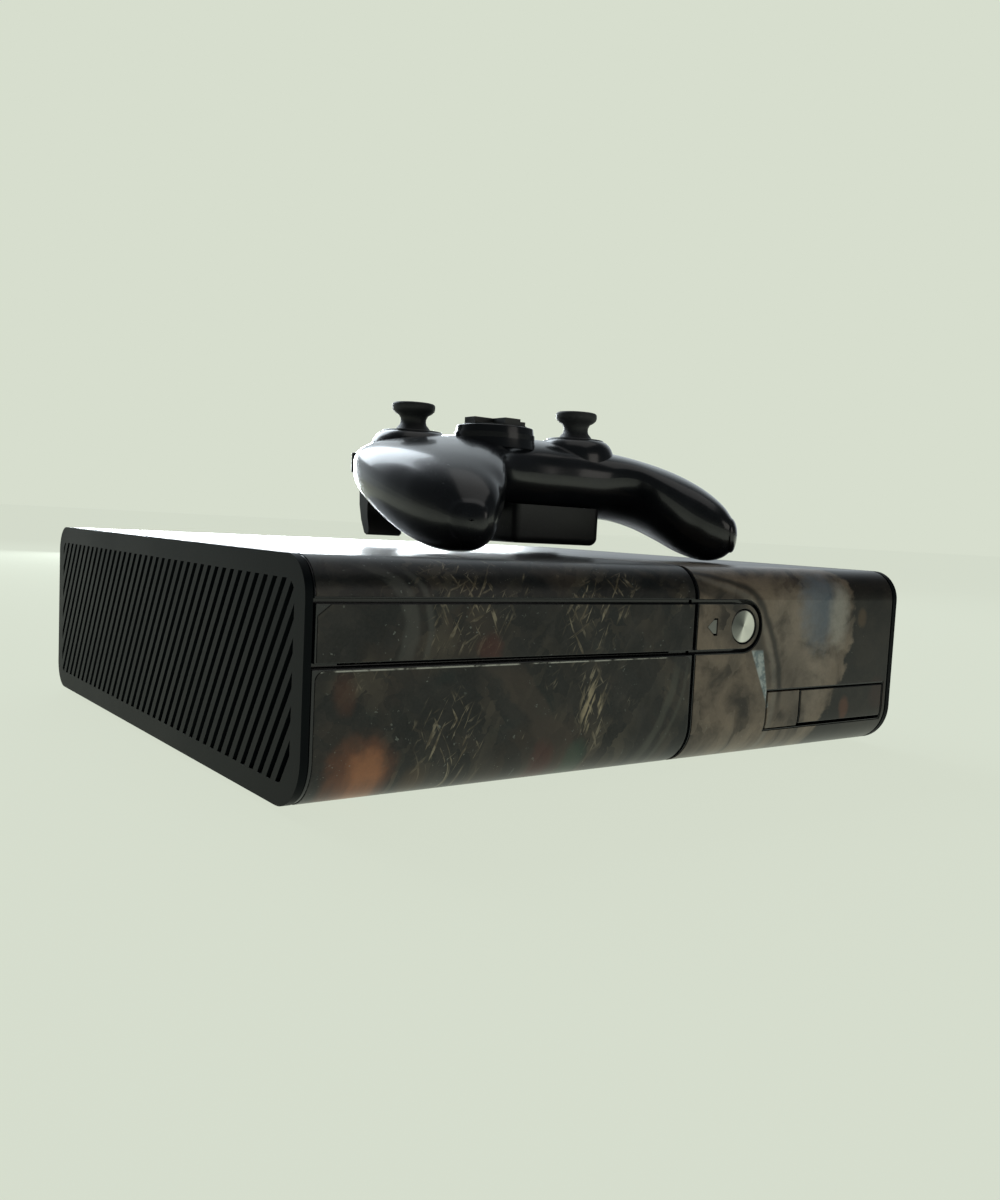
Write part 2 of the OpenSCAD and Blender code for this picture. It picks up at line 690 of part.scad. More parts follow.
module mainboard() {
    color([0.05, 0.28, 0.12]) {
        difference() {
            union() {
                box([-112, 20], [-96, rear_y - 8], [board_z, board_z + board_t]);
                box([20 - eps, 120], [hdd_y0 + hdd[1] + 6, rear_y - 8], [board_z, board_z + board_t]);
            }
            for (s = screw_at) translate([s[0], s[1], board_z - 1]) cylinder(h = 4, r = 1.7);
            for (s = drive_post_at) translate([s[0], s[1], board_z - 1]) cylinder(h = 4, r = 4.5);
        }
    }
    color([0.1, 0.1, 0.1]) {
        for (c = [[-40, 70, 14], [-80, 60, 22], [-30, -20, 18], [-60, 10, 12], [-20, -60, 16]])
            box([c[0], c[0] + c[2]], [c[1], c[1] + c[2]], [board_z + board_t, board_z + board_t + 1.4]);
        for (k = [0:5]) translate([-100 + 9 * k, 100, board_z + board_t]) cylinder(h = 11, r = 3.4);
    }
}

module heat_sink() {
    z0 = board_z + board_t;
    color([0.75, 0.76, 0.78]) {
        box([fan_x - 32, fan_x + 32], [fan_y - 32, fan_y + 32], [z0, z0 + 6]);
        for (k = [0:15]) box([fan_x - 32 + k * 4.16, fan_x - 32 + k * 4.16 + 1.4], [fan_y - 32, fan_y + 32],
                             [z0 + 6 - eps, fan_z0 - 3]);
    }
}

module fan_housing() {
    outer = fan_r + 4;
    leg_r = (outer + 2) * sqrt(0.5);
    color([0.12, 0.12, 0.13]) {
        translate([fan_x, fan_y, fan_z0]) difference() {
            cylinder(h = fan_h, r = outer);
            translate([0, 0, -1]) cylinder(h = fan_h + 2, r = fan_r + 1.4);
        }
        // legs on the board
        for (x = [-1, 1], y = [-1, 1]) translate([fan_x + x * leg_r, fan_y + y * leg_r, board_z + board_t])
            cylinder(h = fan_z0 + 6 - board_z - board_t, r = 2.4);
        // motor boss on three struts
        translate([fan_x, fan_y, fan_z0]) difference() {
            union() {
                cylinder(h = 3, r = 12);
                for (k = [0:2]) rotate(k * 120 + 30) translate([0, -2, 0.5]) cube([outer - 1, 4, 2]);
            }
            translate([0, 0, -1]) cylinder(h = 6, r = 2 + run);
        }
    }
}

module fan_rotor() {
    color([0.16, 0.16, 0.17]) translate([fan_x, fan_y, fan_z0]) {
        translate([0, 0, 4]) difference() {
            cylinder(h = fan_h - 6, r = 17);
            translate([0, 0, -1]) cylinder(h = fan_h - 8, r = 15);
        }
        cylinder(h = fan_h - 4, r = 2);
        for (k = [0:8]) rotate(k * 40) translate([(16.5 + fan_r) / 2, 0, fan_h / 2 + 1])
            rotate([52, 0, 0]) cube([fan_r - 16.5, 1.4, 15], center = true);
    }
}

module hard_drive() {
    color([0.35, 0.36, 0.38]) {
        box([hdd_x1 - hdd[0], hdd_x1], [hdd_y0, hdd_y0 + hdd[1]], [hdd_z0, hdd_z0 + hdd[2]]);
        box([hdd_x1 - eps, body_w / 2 - cap_t], [hdd_y0 + 26, hdd_y0 + 44], [hdd_z0 + 4, hdd_z0 + 6]);
    }
}

module rear_ports() {
    color([0.7, 0.7, 0.72]) for (p = ports)
        translate([p[0], rear_y - vinyl_t - 0.2, port_z0]) rotate([0, 0, 180])
            socket(p[1], port_depth, p[2], min(2, p[2] / 4));
    color([0.1, 0.1, 0.1])
        box([ports[0][0] - 10, ports[5][0] + 10], [rear_y - 19.6, rear_y - 6], [board_z + board_t, port_z0]);
}

module av_jack() {
    color([0.08, 0.08, 0.08]) {
        translate([jack_x, rear_y - vinyl_t - 0.2, jack_z]) rotate([90, 0, 0]) difference() {
            cylinder(h = jack_len, r = 4);
            translate([0, 0, -1]) cylinder(h = jack_len + 2, r = jack_r);
        }
        difference() {
            box([jack_x - 5, jack_x + 5], [rear_y - 16, rear_y - 6], [board_z + board_t, jack_z + 4]);
            translate([jack_x, rear_y - 5, jack_z]) rotate([90, 0, 0]) cylinder(h = 12, r = 3.9);
        }
    }
}

// ================= controller =================

// Catmull-Rom value between rows a and b of the rib table
function blend4(p, a, b, c, t) =
    ((2 * a) + (b - p) * t + (2 * p - 5 * a + 4 * b - c) * t * t + (3 * a - p - 3 * b + c) * t * t * t) / 2;
function pad_row(k) = k < 0 ? [-pad_ribs[1][0], pad_ribs[1][1], -pad_ribs[1][2], pad_ribs[1][3],
                               pad_ribs[1][4], pad_ribs[1][5], pad_ribs[1][6]]
                            : pad_ribs[min(k, pad_last)];
function pad_rib(s) = let (k = min(floor(s), pad_last - 1))
    blend4(pad_row(k - 1), pad_row(k), pad_row(k + 1), pad_row(k + 2), s - k);
function pad_bent(v) = sign(v) * pow(abs(v), pad_power);
// Point on the shell at rib s, turned by a round its section, pulled in by i; side mirrors it
function pad_point(s, a, i, side) = let (
        r = pad_rib(s),
        chord = [r[2] - r[0], r[3] - r[1]],
        half = norm(chord) / 2,
        pull = max(half - i, half * 0.3) / half,
        u = pad_bent(cos(a)) * pull,
        up = sin(a) >= 0 ? r[5] : r[6],
        rise = max(up - i, up * 0.3) * pad_bent(sin(a)))
    [side * ((r[0] + r[2]) / 2 + u * chord[0] / 2), (r[1] + r[3]) / 2 + u * chord[1] / 2, r[4] + rise];

// Half of the controller's hollow body: the top for a0 = 0, the underside for a0 = 180
module pad_half(a0) {
    s_right = [for (s = [0:0.5:pad_last]) s];
    stations = concat([for (k = [len(s_right) - 1:-1:1]) [s_right[k], -1]], [for (s = s_right) [s, 1]]);
    n = len(stations);
    m = pad_steps + 1;
    ring = function (i) [for (st = stations) for (j = [0:pad_steps])
        pad_point(st[0], a0 + j * 180 / pad_steps, i, st[1])];
    tips = [for (i = [0, pad_wall]) for (side = [-1, 1]) [side * (pad_tip[0] - i * 0.3), pad_tip[1] + i * 0.8, pad_tip[2]]];
    points = concat(ring(0), ring(pad_wall), tips);
    inner = n * m;
    tip = 2 * n * m;
    out = function (i, j) i * m + j;
    outer_faces = [for (i = [0:n - 2]) for (j = [0:pad_steps - 1])
        each [[out(i, j), out(i + 1, j), out(i + 1, j + 1)], [out(i, j), out(i + 1, j + 1), out(i, j + 1)]]];
    inner_faces = [for (f = outer_faces) [f[2] + inner, f[1] + inner, f[0] + inner]];
    edge_faces = [for (i = [0:n - 2]) each [
        [out(i, 0), out(i, 0) + inner, out(i + 1, 0) + inner], [out(i, 0), out(i + 1, 0) + inner, out(i + 1, 0)],
        [out(i + 1, m - 1), out(i + 1, m - 1) + inner, out(i, m - 1) + inner],
        [out(i + 1, m - 1), out(i, m - 1) + inner, out(i, m - 1)]]];
    tip_faces = [for (j = [0:pad_steps - 1]) each [
        [tip, out(0, j), out(0, j + 1)], [out(n - 1, j + 1), out(n - 1, j), tip + 1],
        [out(0, j + 1) + inner, out(0, j) + inner, tip + 2],
        [tip + 3, out(n - 1, j) + inner, out(n - 1, j + 1) + inner]]];
    tip_edges = [
        [tip, tip + 2, out(0, 0) + inner], [tip, out(0, 0) + inner, out(0, 0)],
        [out(0, m - 1), out(0, m - 1) + inner, tip + 2], [out(0, m - 1), tip + 2, tip],
        [out(n - 1, 0), out(n - 1, 0) + inner, tip + 3], [out(n - 1, 0), tip + 3, tip + 1],
        [tip + 1, tip + 3, out(n - 1, m - 1) + inner], [tip + 1, out(n - 1, m - 1) + inner, out(n - 1, m - 1)]];
    polyhedron(points, concat(outer_faces, inner_faces, edge_faces, tip_faces, tip_edges), convexity = 8);
}

// Puts the controller's own frame on the lid
module on_lid() {
    translate([pad_x, pad_y, body_h]) children();
}

module mirrored(side) {
    if (side < 0) mirror([1, 0, 0]) children();
    else children();
}

// Raised collar round a stick or the direction pad, open through the shell
module collar(p, r, high) {
    translate([p[0], p[1], p[2] + 2]) cylinder(h = high - 2, r1 = r + 4.2, r2 = r + 2.4);
}

// Collar of a stick, rounded over towards the dome
module stick_collar(p) {
    r = stick_dome_r;
    translate(p) rotate_extrude() polygon([[0, 0], [r + 4.2, 0], [r + 4, 3], [r + 3, 6], [r + 1.4, 8.2],
        [r - 0.9, well_top - 0.7], [0, well_top - 0.7]]);
}

module collar_bore(p, r, low_r) {
    translate([p[0], p[1], p[2] - 10]) cylinder(h = 40, r = r);
    translate([p[0], p[1], p[2] - 10]) cylinder(h = 10 + well_step, r = low_r);
}
well_r = sqrt(pow(stick_dome_r + clear, 2) - pow(well_step, 2)) + 0.1;

// Outline of a bumper in plan: along the shell's far edge, from inside by a to outside by b
module bumper_outline(s0, s1, a, b) {
    n = 10;
    rows = [for (k = [0:n]) pad_rib(s0 + (s1 - s0) * k / n)];
    dirs = [for (r = rows) [r[2] - r[0], r[3] - r[1]] / norm([r[2] - r[0], r[3] - r[1]])];
    polygon(concat([for (k = [0:n]) [rows[k][2], rows[k][3]] + dirs[k] * b],
                   [for (k = [n:-1:0]) [rows[k][2], rows[k][3]] - dirs[k] * a]));
}

module bumper_opening() {
    translate([0, 0, bumper_low - 0.4]) linear_extrude(bumper_high - bumper_low + 0.8)
        bumper_outline(1.35, 4.35, 8, 6);
}

module pad_top_shell() {
    face_xy = [for (b = face_buttons) [b[0], b[1]]];
    color([0.015, 0.015, 0.018]) on_lid() {
        difference() {
            union() {
                pad_half(0);
                stick_collar(stick_left);
                stick_collar(stick_right);
                collar(dpad_at, dpad_r, well_top);
            }
            for (p = [stick_left, stick_right]) collar_bore(p, well_r, stick_dome_r + 0.5);
            collar_bore(dpad_at, dpad_r + 1.6, dpad_r + 1.6);
            for (p = face_xy) translate([p[0], p[1], 30]) cylinder(h = 30, r = face_r + clear);
            for (x = [-menu_x, menu_x]) translate([x, 0, 30]) cylinder(h = 30, r = menu_r + clear);
            translate([0, 0, 30]) cylinder(h = 30, r = ring_r);
            for (side = [-1, 1]) mirrored(side) bumper_opening();
        }
        // ledge that carries the light ring
        translate([0, 0, 43.4]) difference() {
            cylinder(h = 2, r = ring_r + 1.6);
            translate([0, 0, -1]) cylinder(h = 4, r = guide_r + clear);
        }
        // upper halves of the screw bosses
        for (p = pad_screw_at) translate([p[0], p[1], p[4]]) difference() {
            cylinder(h = 14.2, r = 3);
            translate([0, 0, -1]) cylinder(h = 9, r = 1.5);
        }
    }
}

module pad_bottom_shell() {
    color([0.015, 0.015, 0.018]) on_lid() {
        difference() {
            union() {
                pad_half(180);
                // walls of the battery bay
                box([-pack_w / 2 - 2.4, pack_w / 2 + 2.4], [-36, pack_y[1] + 2.4], [pack_z[1] - 3.6, pack_z[1] + 2.4]);
                for (p = pad_screw_at) translate([p[0], p[1], p[2] + 0.4]) cylinder(h = p[4] - p[2] - 0.4, r = 4.2);
                // posts of the triggers, the bumpers' bosses and the motors' cradles
                for (side = [-1, 1]) mirrored(side) {
                    for (q = [[-10.8, 17], [10.8, 23.2]])
                        box([trigger_x + q[0] - 1.5, trigger_x + q[0] + 1.5],
                            [trigger_pivot[0] - 2.6, trigger_pivot[0] + 2.6], [q[1], trigger_pivot[1] + 2.6]);
                    translate([bumper_pivot[0], bumper_pivot[1], 18.6])
                        cylinder(h = bumper_low - 0.4 - 18.6, r = 3.2);
                    for (y = [3, 11]) box([motor_at[0] - 3, motor_at[0] + 3],
                        [motor_at[1] + y, motor_at[1] + y + 2], [5.6 + (y - 3) * 0.12, motor_at[2] - motor_r + 0.5]);
                }
            }
            box([-pack_w / 2 - 0.4, pack_w / 2 + 0.4], [pack_y[0] - 4, pack_y[1] + 0.4], [-1, pack_z[1] + 0.4]);
            for (side = [-1, 1]) mirrored(side) {
                box([trigger_x - trigger_w / 2 - 0.5, trigger_x + trigger_w / 2 + 0.5],
                    [trigger_pivot[0] + 4.4, 40], [-1, bumper_low - 0.3]);
                bumper_opening();
                translate([bumper_pivot[0], bumper_pivot[1], 22]) cylinder(h = 20, r = 1.6 + run);
                translate([motor_at[0], motor_at[1], motor_at[2]]) rotate([-90, 0, 0]) cylinder(h = 17, r = motor_r);
            }
            translate([8, 10, 28]) rotate([-90, 0, 0]) cylinder(h = 20, r = 2 + clear);
            for (p = pad_screw_at) translate([p[0], p[1], 0]) {
                translate([0, 0, -1]) cylinder(h = p[3] + 1, r = 3);
                cylinder(h = 40, r = 1.7);
            }
        }
        for (side = [-1, 1]) mirrored(side)
            translate([trigger_x - 11, trigger_pivot[0], trigger_pivot[1]]) rotate([0, 90, 0]) cylinder(h = 22, r = 1.5);
    }
}

module pad_battery_pack() {
    r = 3.4;
    color([0.02, 0.02, 0.022]) on_lid() hull()
        for (x = [-1, 1], y = [pack_y[0] + r, pack_y[1] - r]) translate([x * (pack_w / 2 - r), y, 0]) {
            translate([0, 0, pack_z[0] + r]) sphere(r, $fn = 24);
            translate([0, 0, pack_z[1] - 1]) cylinder(h = 1, r = r, $fn = 24);
        }
}

module bumper(side) {
    color([0.02, 0.02, 0.022]) on_lid() mirrored(side) {
        translate([0, 0, bumper_low]) linear_extrude(bumper_high - bumper_low) bumper_outline(1.43, 4.27, 4.6, 1);
        // lug and pivot pin
        translate([0, 0, bumper_low]) linear_extrude(4)
            polygon([[bumper_pivot[0] - 3, bumper_pivot[1]], [bumper_pivot[0] - 2.4, 20.5],
                     [bumper_pivot[0] + 8, 21], [bumper_pivot[0] + 3, bumper_pivot[1]]]);
        translate([bumper_pivot[0], bumper_pivot[1], 23]) cylinder(h = bumper_low + 4 - 23, r = 1.6);
        translate([bumper_pivot[0], bumper_pivot[1], bumper_low]) cylinder(h = 4, r = 3);
    }
}

module pad_bumper_left() {
    bumper(-1);
}

module pad_bumper_right() {
    bumper(1);
}

module trigger(side) {
    low = 4.2;
    color([0.02, 0.02, 0.022]) on_lid() mirrored(side) difference() {
        union() {
            along_x(trigger_x - trigger_w / 2, trigger_x + trigger_w / 2)
                polygon([[15, 28.4], [22, 28.4], [26.4, 26.6], [28, 23], [27.6, 17], [25.6, 10.5], [22.4, low + 0.8],
                         [20.4, low], [18.6, low + 1], [18.6, low + 3], [20, 12], [20.4, 17], [19, 21.4], [15, 23.6]]);
            along_x(trigger_x - 5, trigger_x + 5) {
                polygon([[6, 23.4], [9, 24], [15.5, 24.4], [15.5, 28.4], [6, 30.6]]);
                translate(trigger_pivot) circle(3.6);
            }
        }
        translate([0, trigger_pivot[0], trigger_pivot[1]]) rotate([0, 90, 0]) cylinder(h = body_w, r = 1.5 + run);
    }
}

module pad_trigger_left() {
    trigger(-1);
}

module pad_trigger_right() {
    trigger(1);
}

// Cradle that turns about X and carries a stem that turns about Y
module gimbal(p) {
    color([0.3, 0.3, 0.32]) on_lid() translate(p) difference() {
        union() {
            difference() {
                cube([12, 12, 5], center = true);
                cube([8.4, 8.4, 6], center = true);
            }
            for (s = [-1, 1]) translate([s * 7.8, 0, 0]) rotate([0, 90, 0]) cylinder(h = 4, r = 1.5, center = true);
        }
        rotate([90, 0, 0]) cylinder(h = 20, r = 1.2 + run, center = true);
    }
}

// Posts on the board with the bores of a cradle
module gimbal_posts(p) {
    difference() {
        for (s = [-1, 1]) translate([p[0] + s * 8 - 1.4, p[1] - 2.6, board_top - eps])
            cube([2.8, 5.2, p[2] + 2.7 - board_top]);
        translate(p) rotate([0, 90, 0]) cylinder(h = 30, r = 1.5 + run, center = true);
    }
}

// Stem with its pivot pin, from the pivot up to z = top
module stem(top) {
    translate([-2, -2, -2.4]) cube([4, 4, 4.8]);
    translate([0, 0, 2]) cylinder(h = top - 2, r = 2.6);
    rotate([90, 0, 0]) cylinder(h = 11.6, r = 1.2, center = true);
}

module stick(p) {
    cap = stick_reach;
    color([0.03, 0.03, 0.03]) on_lid() translate(p) {
        stem(stick_dome_r - 0.4);
        // dome, a zone of a hollow ball round the pivot
        rotate_extrude() difference() {
            intersection() {
                difference() {
                    circle(stick_dome_r);
                    circle(stick_dome_r - 1.4);
                }
                polygon([[0, 0], [0, 20], [20, 20], [20, 20 / tan(69)]]);
            }
            translate([-20, -20]) square([20, 40]);
        }
        translate([0, 0, stick_dome_r - 0.6]) cylinder(h = cap - stick_dome_r - 3, r = 4.6);
        // cap with a hollow top
        rotate_extrude() polygon([[0, cap - 4.2], [stick_cap_r - 1.6, cap - 4.2], [stick_cap_r, cap - 3],
                                  [stick_cap_r, cap - 1], [stick_cap_r - 1, cap], [stick_cap_r - 2.4, cap - 0.4],
                                  [3, cap - 1.6], [0, cap - 1.8]]);
    }
}

module pad_gimbal_left() {
    gimbal(stick_left);
}

module pad_gimbal_right() {
    gimbal(stick_right);
}

module pad_stick_left() {
    stick(stick_left);
}

module pad_stick_right() {
    stick(stick_right);
}

module pad_dpad_cradle() {
    gimbal(dpad_at);
}

module pad_dpad() {
    arm = 7.4;
    color([0.03, 0.03, 0.032]) on_lid() translate(dpad_at) {
        stem(8.4);
        translate([0, 0, 8]) difference() {
            cylinder(h = 3.4, r = dpad_r);
            translate([0, 0, 2.2]) cylinder(h = 3, r = dpad_r - 2);
        }
        translate([0, 0, 10 - eps]) {
            translate([-arm / 2, -dpad_r + 0.6, 0]) cube([arm, 2 * dpad_r - 1.2, 3.8]);
            translate([-dpad_r + 0.6, -arm / 2, 0]) cube([2 * dpad_r - 1.2, arm, 3.8]);
        }
    }
}

// Face buttons, from the near one: x, y, height of the top, height of the bottom
face_buttons = [[face_at[0], face_at[1] - face_spread, 45.8 + face_lift, key_low],
                [face_at[0] + face_spread, face_at[1], 43.4 + face_lift, key_low],
                [face_at[0] - face_spread, face_at[1], 47 + face_lift, key_low],
                [face_at[0], face_at[1] + face_spread, 42.8 + face_lift, north_low]];

// Round key with a softly domed top and a flange under the shell
module key(x, y, low, top, r, dome, flange) {
    translate([x, y, 0]) rotate_extrude() polygon(concat(
        [[0, low], [r + flange, low], [r + flange, low + 1.6], [r, low + 1.6]],
        [for (k = [0:6]) [r * cos(k * 15), top - dome + dome * sin(k * 15)]]));
}

module face_button(k, tint, flange = 0.6) {
    b = face_buttons[k];
    color(tint) on_lid() key(b[0], b[1], b[3], b[2], face_r, 1.8, flange);
}

module pad_button_south() {
    face_button(0, [0.1, 0.4, 0.12]);
}

module pad_button_east() {
    face_button(1, [0.5, 0.06, 0.05]);
}

module pad_button_west() {
    face_button(2, [0.06, 0.15, 0.5]);
}

// Two tabs hold this key, as the shell falls away too steeply for a whole flange
module pad_button_north() {
    b = face_buttons[3];
    tint = [0.55, 0.42, 0.05];
    face_button(3, tint, 0);
    color(tint) on_lid() translate([b[0], b[1], 0]) for (a = [220, 280]) rotate(a)
        box([face_r - 1.5, face_r + 0.8], [-1.2, 1.2], [b[3], b[3] + 1.6]);
}

module pad_back_button() {
    color([0.03, 0.03, 0.032]) on_lid() key(-menu_x, 0, button_low, 49.6, menu_r, 0.8, 0.8);
}

module pad_start_button() {
    color([0.03, 0.03, 0.032]) on_lid() key(menu_x, 0, button_low, 49.6, menu_r, 0.8, 0.8);
}

module pad_guide_button() {
    color([0.5, 0.5, 0.5]) on_lid() key(0, 0, button_low, 50, guide_r, 1.6, 0.4);
}

module pad_light_ring() {
    color([0.1, 0.12, 0.1]) on_lid() translate([0, 0, 45.4]) difference() {
        cylinder(h = 3.4, r1 = ring_r, r2 = ring_r - 0.5);
        translate([0, 0, -1]) cylinder(h = 6, r = guide_r + clear);
    }
}

module pad_pairing_button() {
    color([0.03, 0.03, 0.032]) on_lid() translate([8, 15, 28]) rotate([-90, 0, 0]) cylinder(h = 9.6, r = 2);
}

module pad_board() {
    color([0.05, 0.28, 0.12]) on_lid() {
        translate([0, 0, board_low]) linear_extrude(board_top - board_low) {
            translate([-58, -15]) square([116, 17]);
            translate([-31, -36]) square([62, 38]);
        }
        gimbal_posts(stick_left);
        gimbal_posts(stick_right);
        gimbal_posts(dpad_at);
        for (b = face_buttons) if (b[1] < 3)
            translate([b[0], b[1], board_top - eps]) cylinder(h = key_low - 1.8 - board_top, r = 3);
        for (x = [-menu_x, menu_x, 0]) translate([x, 0, board_top - eps]) cylinder(h = 2, r = 2.4);
    }
}

module pad_motors() {
    color([0.7, 0.7, 0.72]) on_lid() for (side = [-1, 1]) mirrored(side)
        translate(motor_at) rotate([-90, 0, 0]) difference() {
            cylinder(h = 17, r = motor_r);
            translate([0, 0, -1]) cylinder(h = 8, r = 1 + run);
        }
}

module rumble_weight(side) {
    color([0.5, 0.48, 0.44]) on_lid() mirrored(side) translate(motor_at) rotate([90, 0, 0]) {
        translate([0, 0, -5]) cylinder(h = 11, r = 1);
        translate([0, 0, 1]) intersection() {
            cylinder(h = 5, r = 6);
            translate([-8, -8, 0]) cube([16, 9, 5]);
        }
    }
}

module pad_weight_left() {
    rumble_weight(-1);
}

module pad_weight_right() {
    rumble_weight(1);
}

module pad_screws() {
    color([0.75, 0.75, 0.76]) on_lid() for (p = pad_screw_at) translate([p[0], p[1], p[3]]) difference() {
        union() {
            translate([0, 0, -1.8]) cylinder(h = 1.8, r = 2.7);
            translate([0, 0, -eps]) cylinder(h = p[4] - p[3] + 7, r = 1.5);
        }
        translate([0, 0, -2.8]) cylinder(h = 2, r = 1.2, $fn = 6);
    }
}

lower_shell();
upper_shell();
front_panel_left();
front_panel_right();
rear_panel();
left_end_cap();
right_end_cap();
hard_drive_door();
button_strip();
rubber_feet();
vinyl_wrap();
disc_tray();
tray_bezel();
tray_vinyl();
tray_pinion();
drive_case();
drive_deck();
laser_sled();
spindle_hub();
power_button();
eject_button();
pairing_button();
usb_flap();
flap_vinyl();
front_usb_ports();
front_board();
mainboard();
heat_sink();
fan_housing();
fan_rotor();
hard_drive();
rear_ports();
av_jack();
pad_top_shell();
pad_bottom_shell();
pad_battery_pack();
pad_bumper_left();
pad_bumper_right();
pad_trigger_left();
pad_trigger_right();
pad_gimbal_left();
pad_gimbal_right();
pad_stick_left();
pad_stick_right();
pad_dpad_cradle();
pad_dpad();
pad_light_ring();
pad_guide_button();
pad_button_south();
pad_button_east();
pad_button_west();
pad_button_north();
pad_back_button();
pad_start_button();
pad_pairing_button();
pad_board();
pad_motors();
pad_weight_left();
pad_weight_right();
pad_screws();
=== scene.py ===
import json
from math import cos, pi, radians, sin

import bmesh
import bpy
from mathutils import Matrix, Vector


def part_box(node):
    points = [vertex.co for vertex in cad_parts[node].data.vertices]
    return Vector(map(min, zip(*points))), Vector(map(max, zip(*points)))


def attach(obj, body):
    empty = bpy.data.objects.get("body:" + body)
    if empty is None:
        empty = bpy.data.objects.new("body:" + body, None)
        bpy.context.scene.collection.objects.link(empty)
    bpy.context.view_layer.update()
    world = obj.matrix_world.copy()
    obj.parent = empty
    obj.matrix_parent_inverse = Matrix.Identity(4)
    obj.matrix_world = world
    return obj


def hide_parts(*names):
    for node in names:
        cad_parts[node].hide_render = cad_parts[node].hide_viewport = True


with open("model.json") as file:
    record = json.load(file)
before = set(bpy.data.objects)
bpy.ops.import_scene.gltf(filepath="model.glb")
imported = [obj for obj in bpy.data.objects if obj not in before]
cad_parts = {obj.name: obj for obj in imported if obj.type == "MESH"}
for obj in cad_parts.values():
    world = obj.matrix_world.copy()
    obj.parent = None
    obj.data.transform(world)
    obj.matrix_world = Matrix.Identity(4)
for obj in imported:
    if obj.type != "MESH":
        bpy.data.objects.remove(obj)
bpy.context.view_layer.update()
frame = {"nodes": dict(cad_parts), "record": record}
MM = 0.001

# ---------------------------------------------------------------- camera, floor and light

camera = bpy.data.objects.new("camera", bpy.data.cameras.new("camera"))
bpy.context.scene.collection.objects.link(camera)
bpy.context.scene.camera = camera
azimuth, elevation, roll = radians(-38.24), radians(4.85), radians(3.05)
back = Vector((sin(azimuth) * cos(elevation), -cos(azimuth) * cos(elevation), sin(elevation)))
right = Vector((0, 0, 1)).cross(back).normalized()
up = back.cross(right)
across = right * cos(roll) + up * sin(roll)
above = up * cos(roll) - right * sin(roll)
camera.matrix_world = Matrix((across, above, back)).transposed().to_4x4()
camera.location = (-0.26256, -0.40704, 0.08504)
camera.data.sensor_width = 36
camera.data.sensor_fit = "AUTO"
camera.data.lens = 1086.05 * 36 / 1200
camera.data.shift_x = -61.5 / 1200
camera.data.shift_y = 23.5 / 1200
camera.data.clip_start = 0.01
bpy.context.scene.view_settings.view_transform = "Standard"


def area_light(name, place, target, size, power, color):
    data = bpy.data.lights.new(name, "AREA")
    data.shape = "RECTANGLE"
    data.size, data.size_y = size
    data.energy = power
    data.color = color
    lamp = bpy.data.objects.new(name, data)
    lamp.location = place
    lamp.rotation_euler = (Vector(target) - Vector(place)).to_track_quat("-Z", "Y").to_euler()
    bpy.context.scene.collection.objects.link(lamp)
    return lamp


# ---------------------------------------------------------------- shader writing

class Wire:
    """A socket of a shader tree that takes part in ordinary sums."""

    def __init__(self, tree, socket):
        self.tree, self.socket = tree, socket

    def math(self, operation, *others):
        node = self.tree.nodes.new("ShaderNodeMath")
        node.operation = operation
        for slot, value in zip(node.inputs, (self, *others)):
            plug(self.tree, slot, value)
        return Wire(self.tree, node.outputs[0])

    def __add__(self, other): return self.math("ADD", other)
    def __sub__(self, other): return self.math("SUBTRACT", other)
    def __mul__(self, other): return self.math("MULTIPLY", other)
    def __truediv__(self, other): return self.math("DIVIDE", other)
    def __radd__(self, other): return self.math("ADD", other)
    def __rmul__(self, other): return self.math("MULTIPLY", other)
    def __rsub__(self, other): return (self * -1).math("ADD", other)
    def min(self, other): return self.math("MINIMUM", other)
    def max(self, other): return self.math("MAXIMUM", other)
    def abs(self): return self.math("ABSOLUTE")
    def sin(self): return self.math("SINE")

    def step(self, low, high):
        """0 below low, 1 above high, smooth between; either way round."""
        node = self.tree.nodes.new("ShaderNodeMapRange")
        node.interpolation_type = "SMOOTHSTEP"
        turned = low > high
        plug(self.tree, node.inputs["Value"], self)
        node.inputs["From Min"].default_value = min(low, high)
        node.inputs["From Max"].default_value = max(low, high)
        node.inputs["To Min"].default_value = 1.0 if turned else 0.0
        node.inputs["To Max"].default_value = 0.0 if turned else 1.0
        return Wire(self.tree, node.outputs["Result"])


def plug(tree, slot, value):
    if isinstance(value, Wire):
        tree.links.new(value.socket, slot)
    else:
        slot.default_value = value


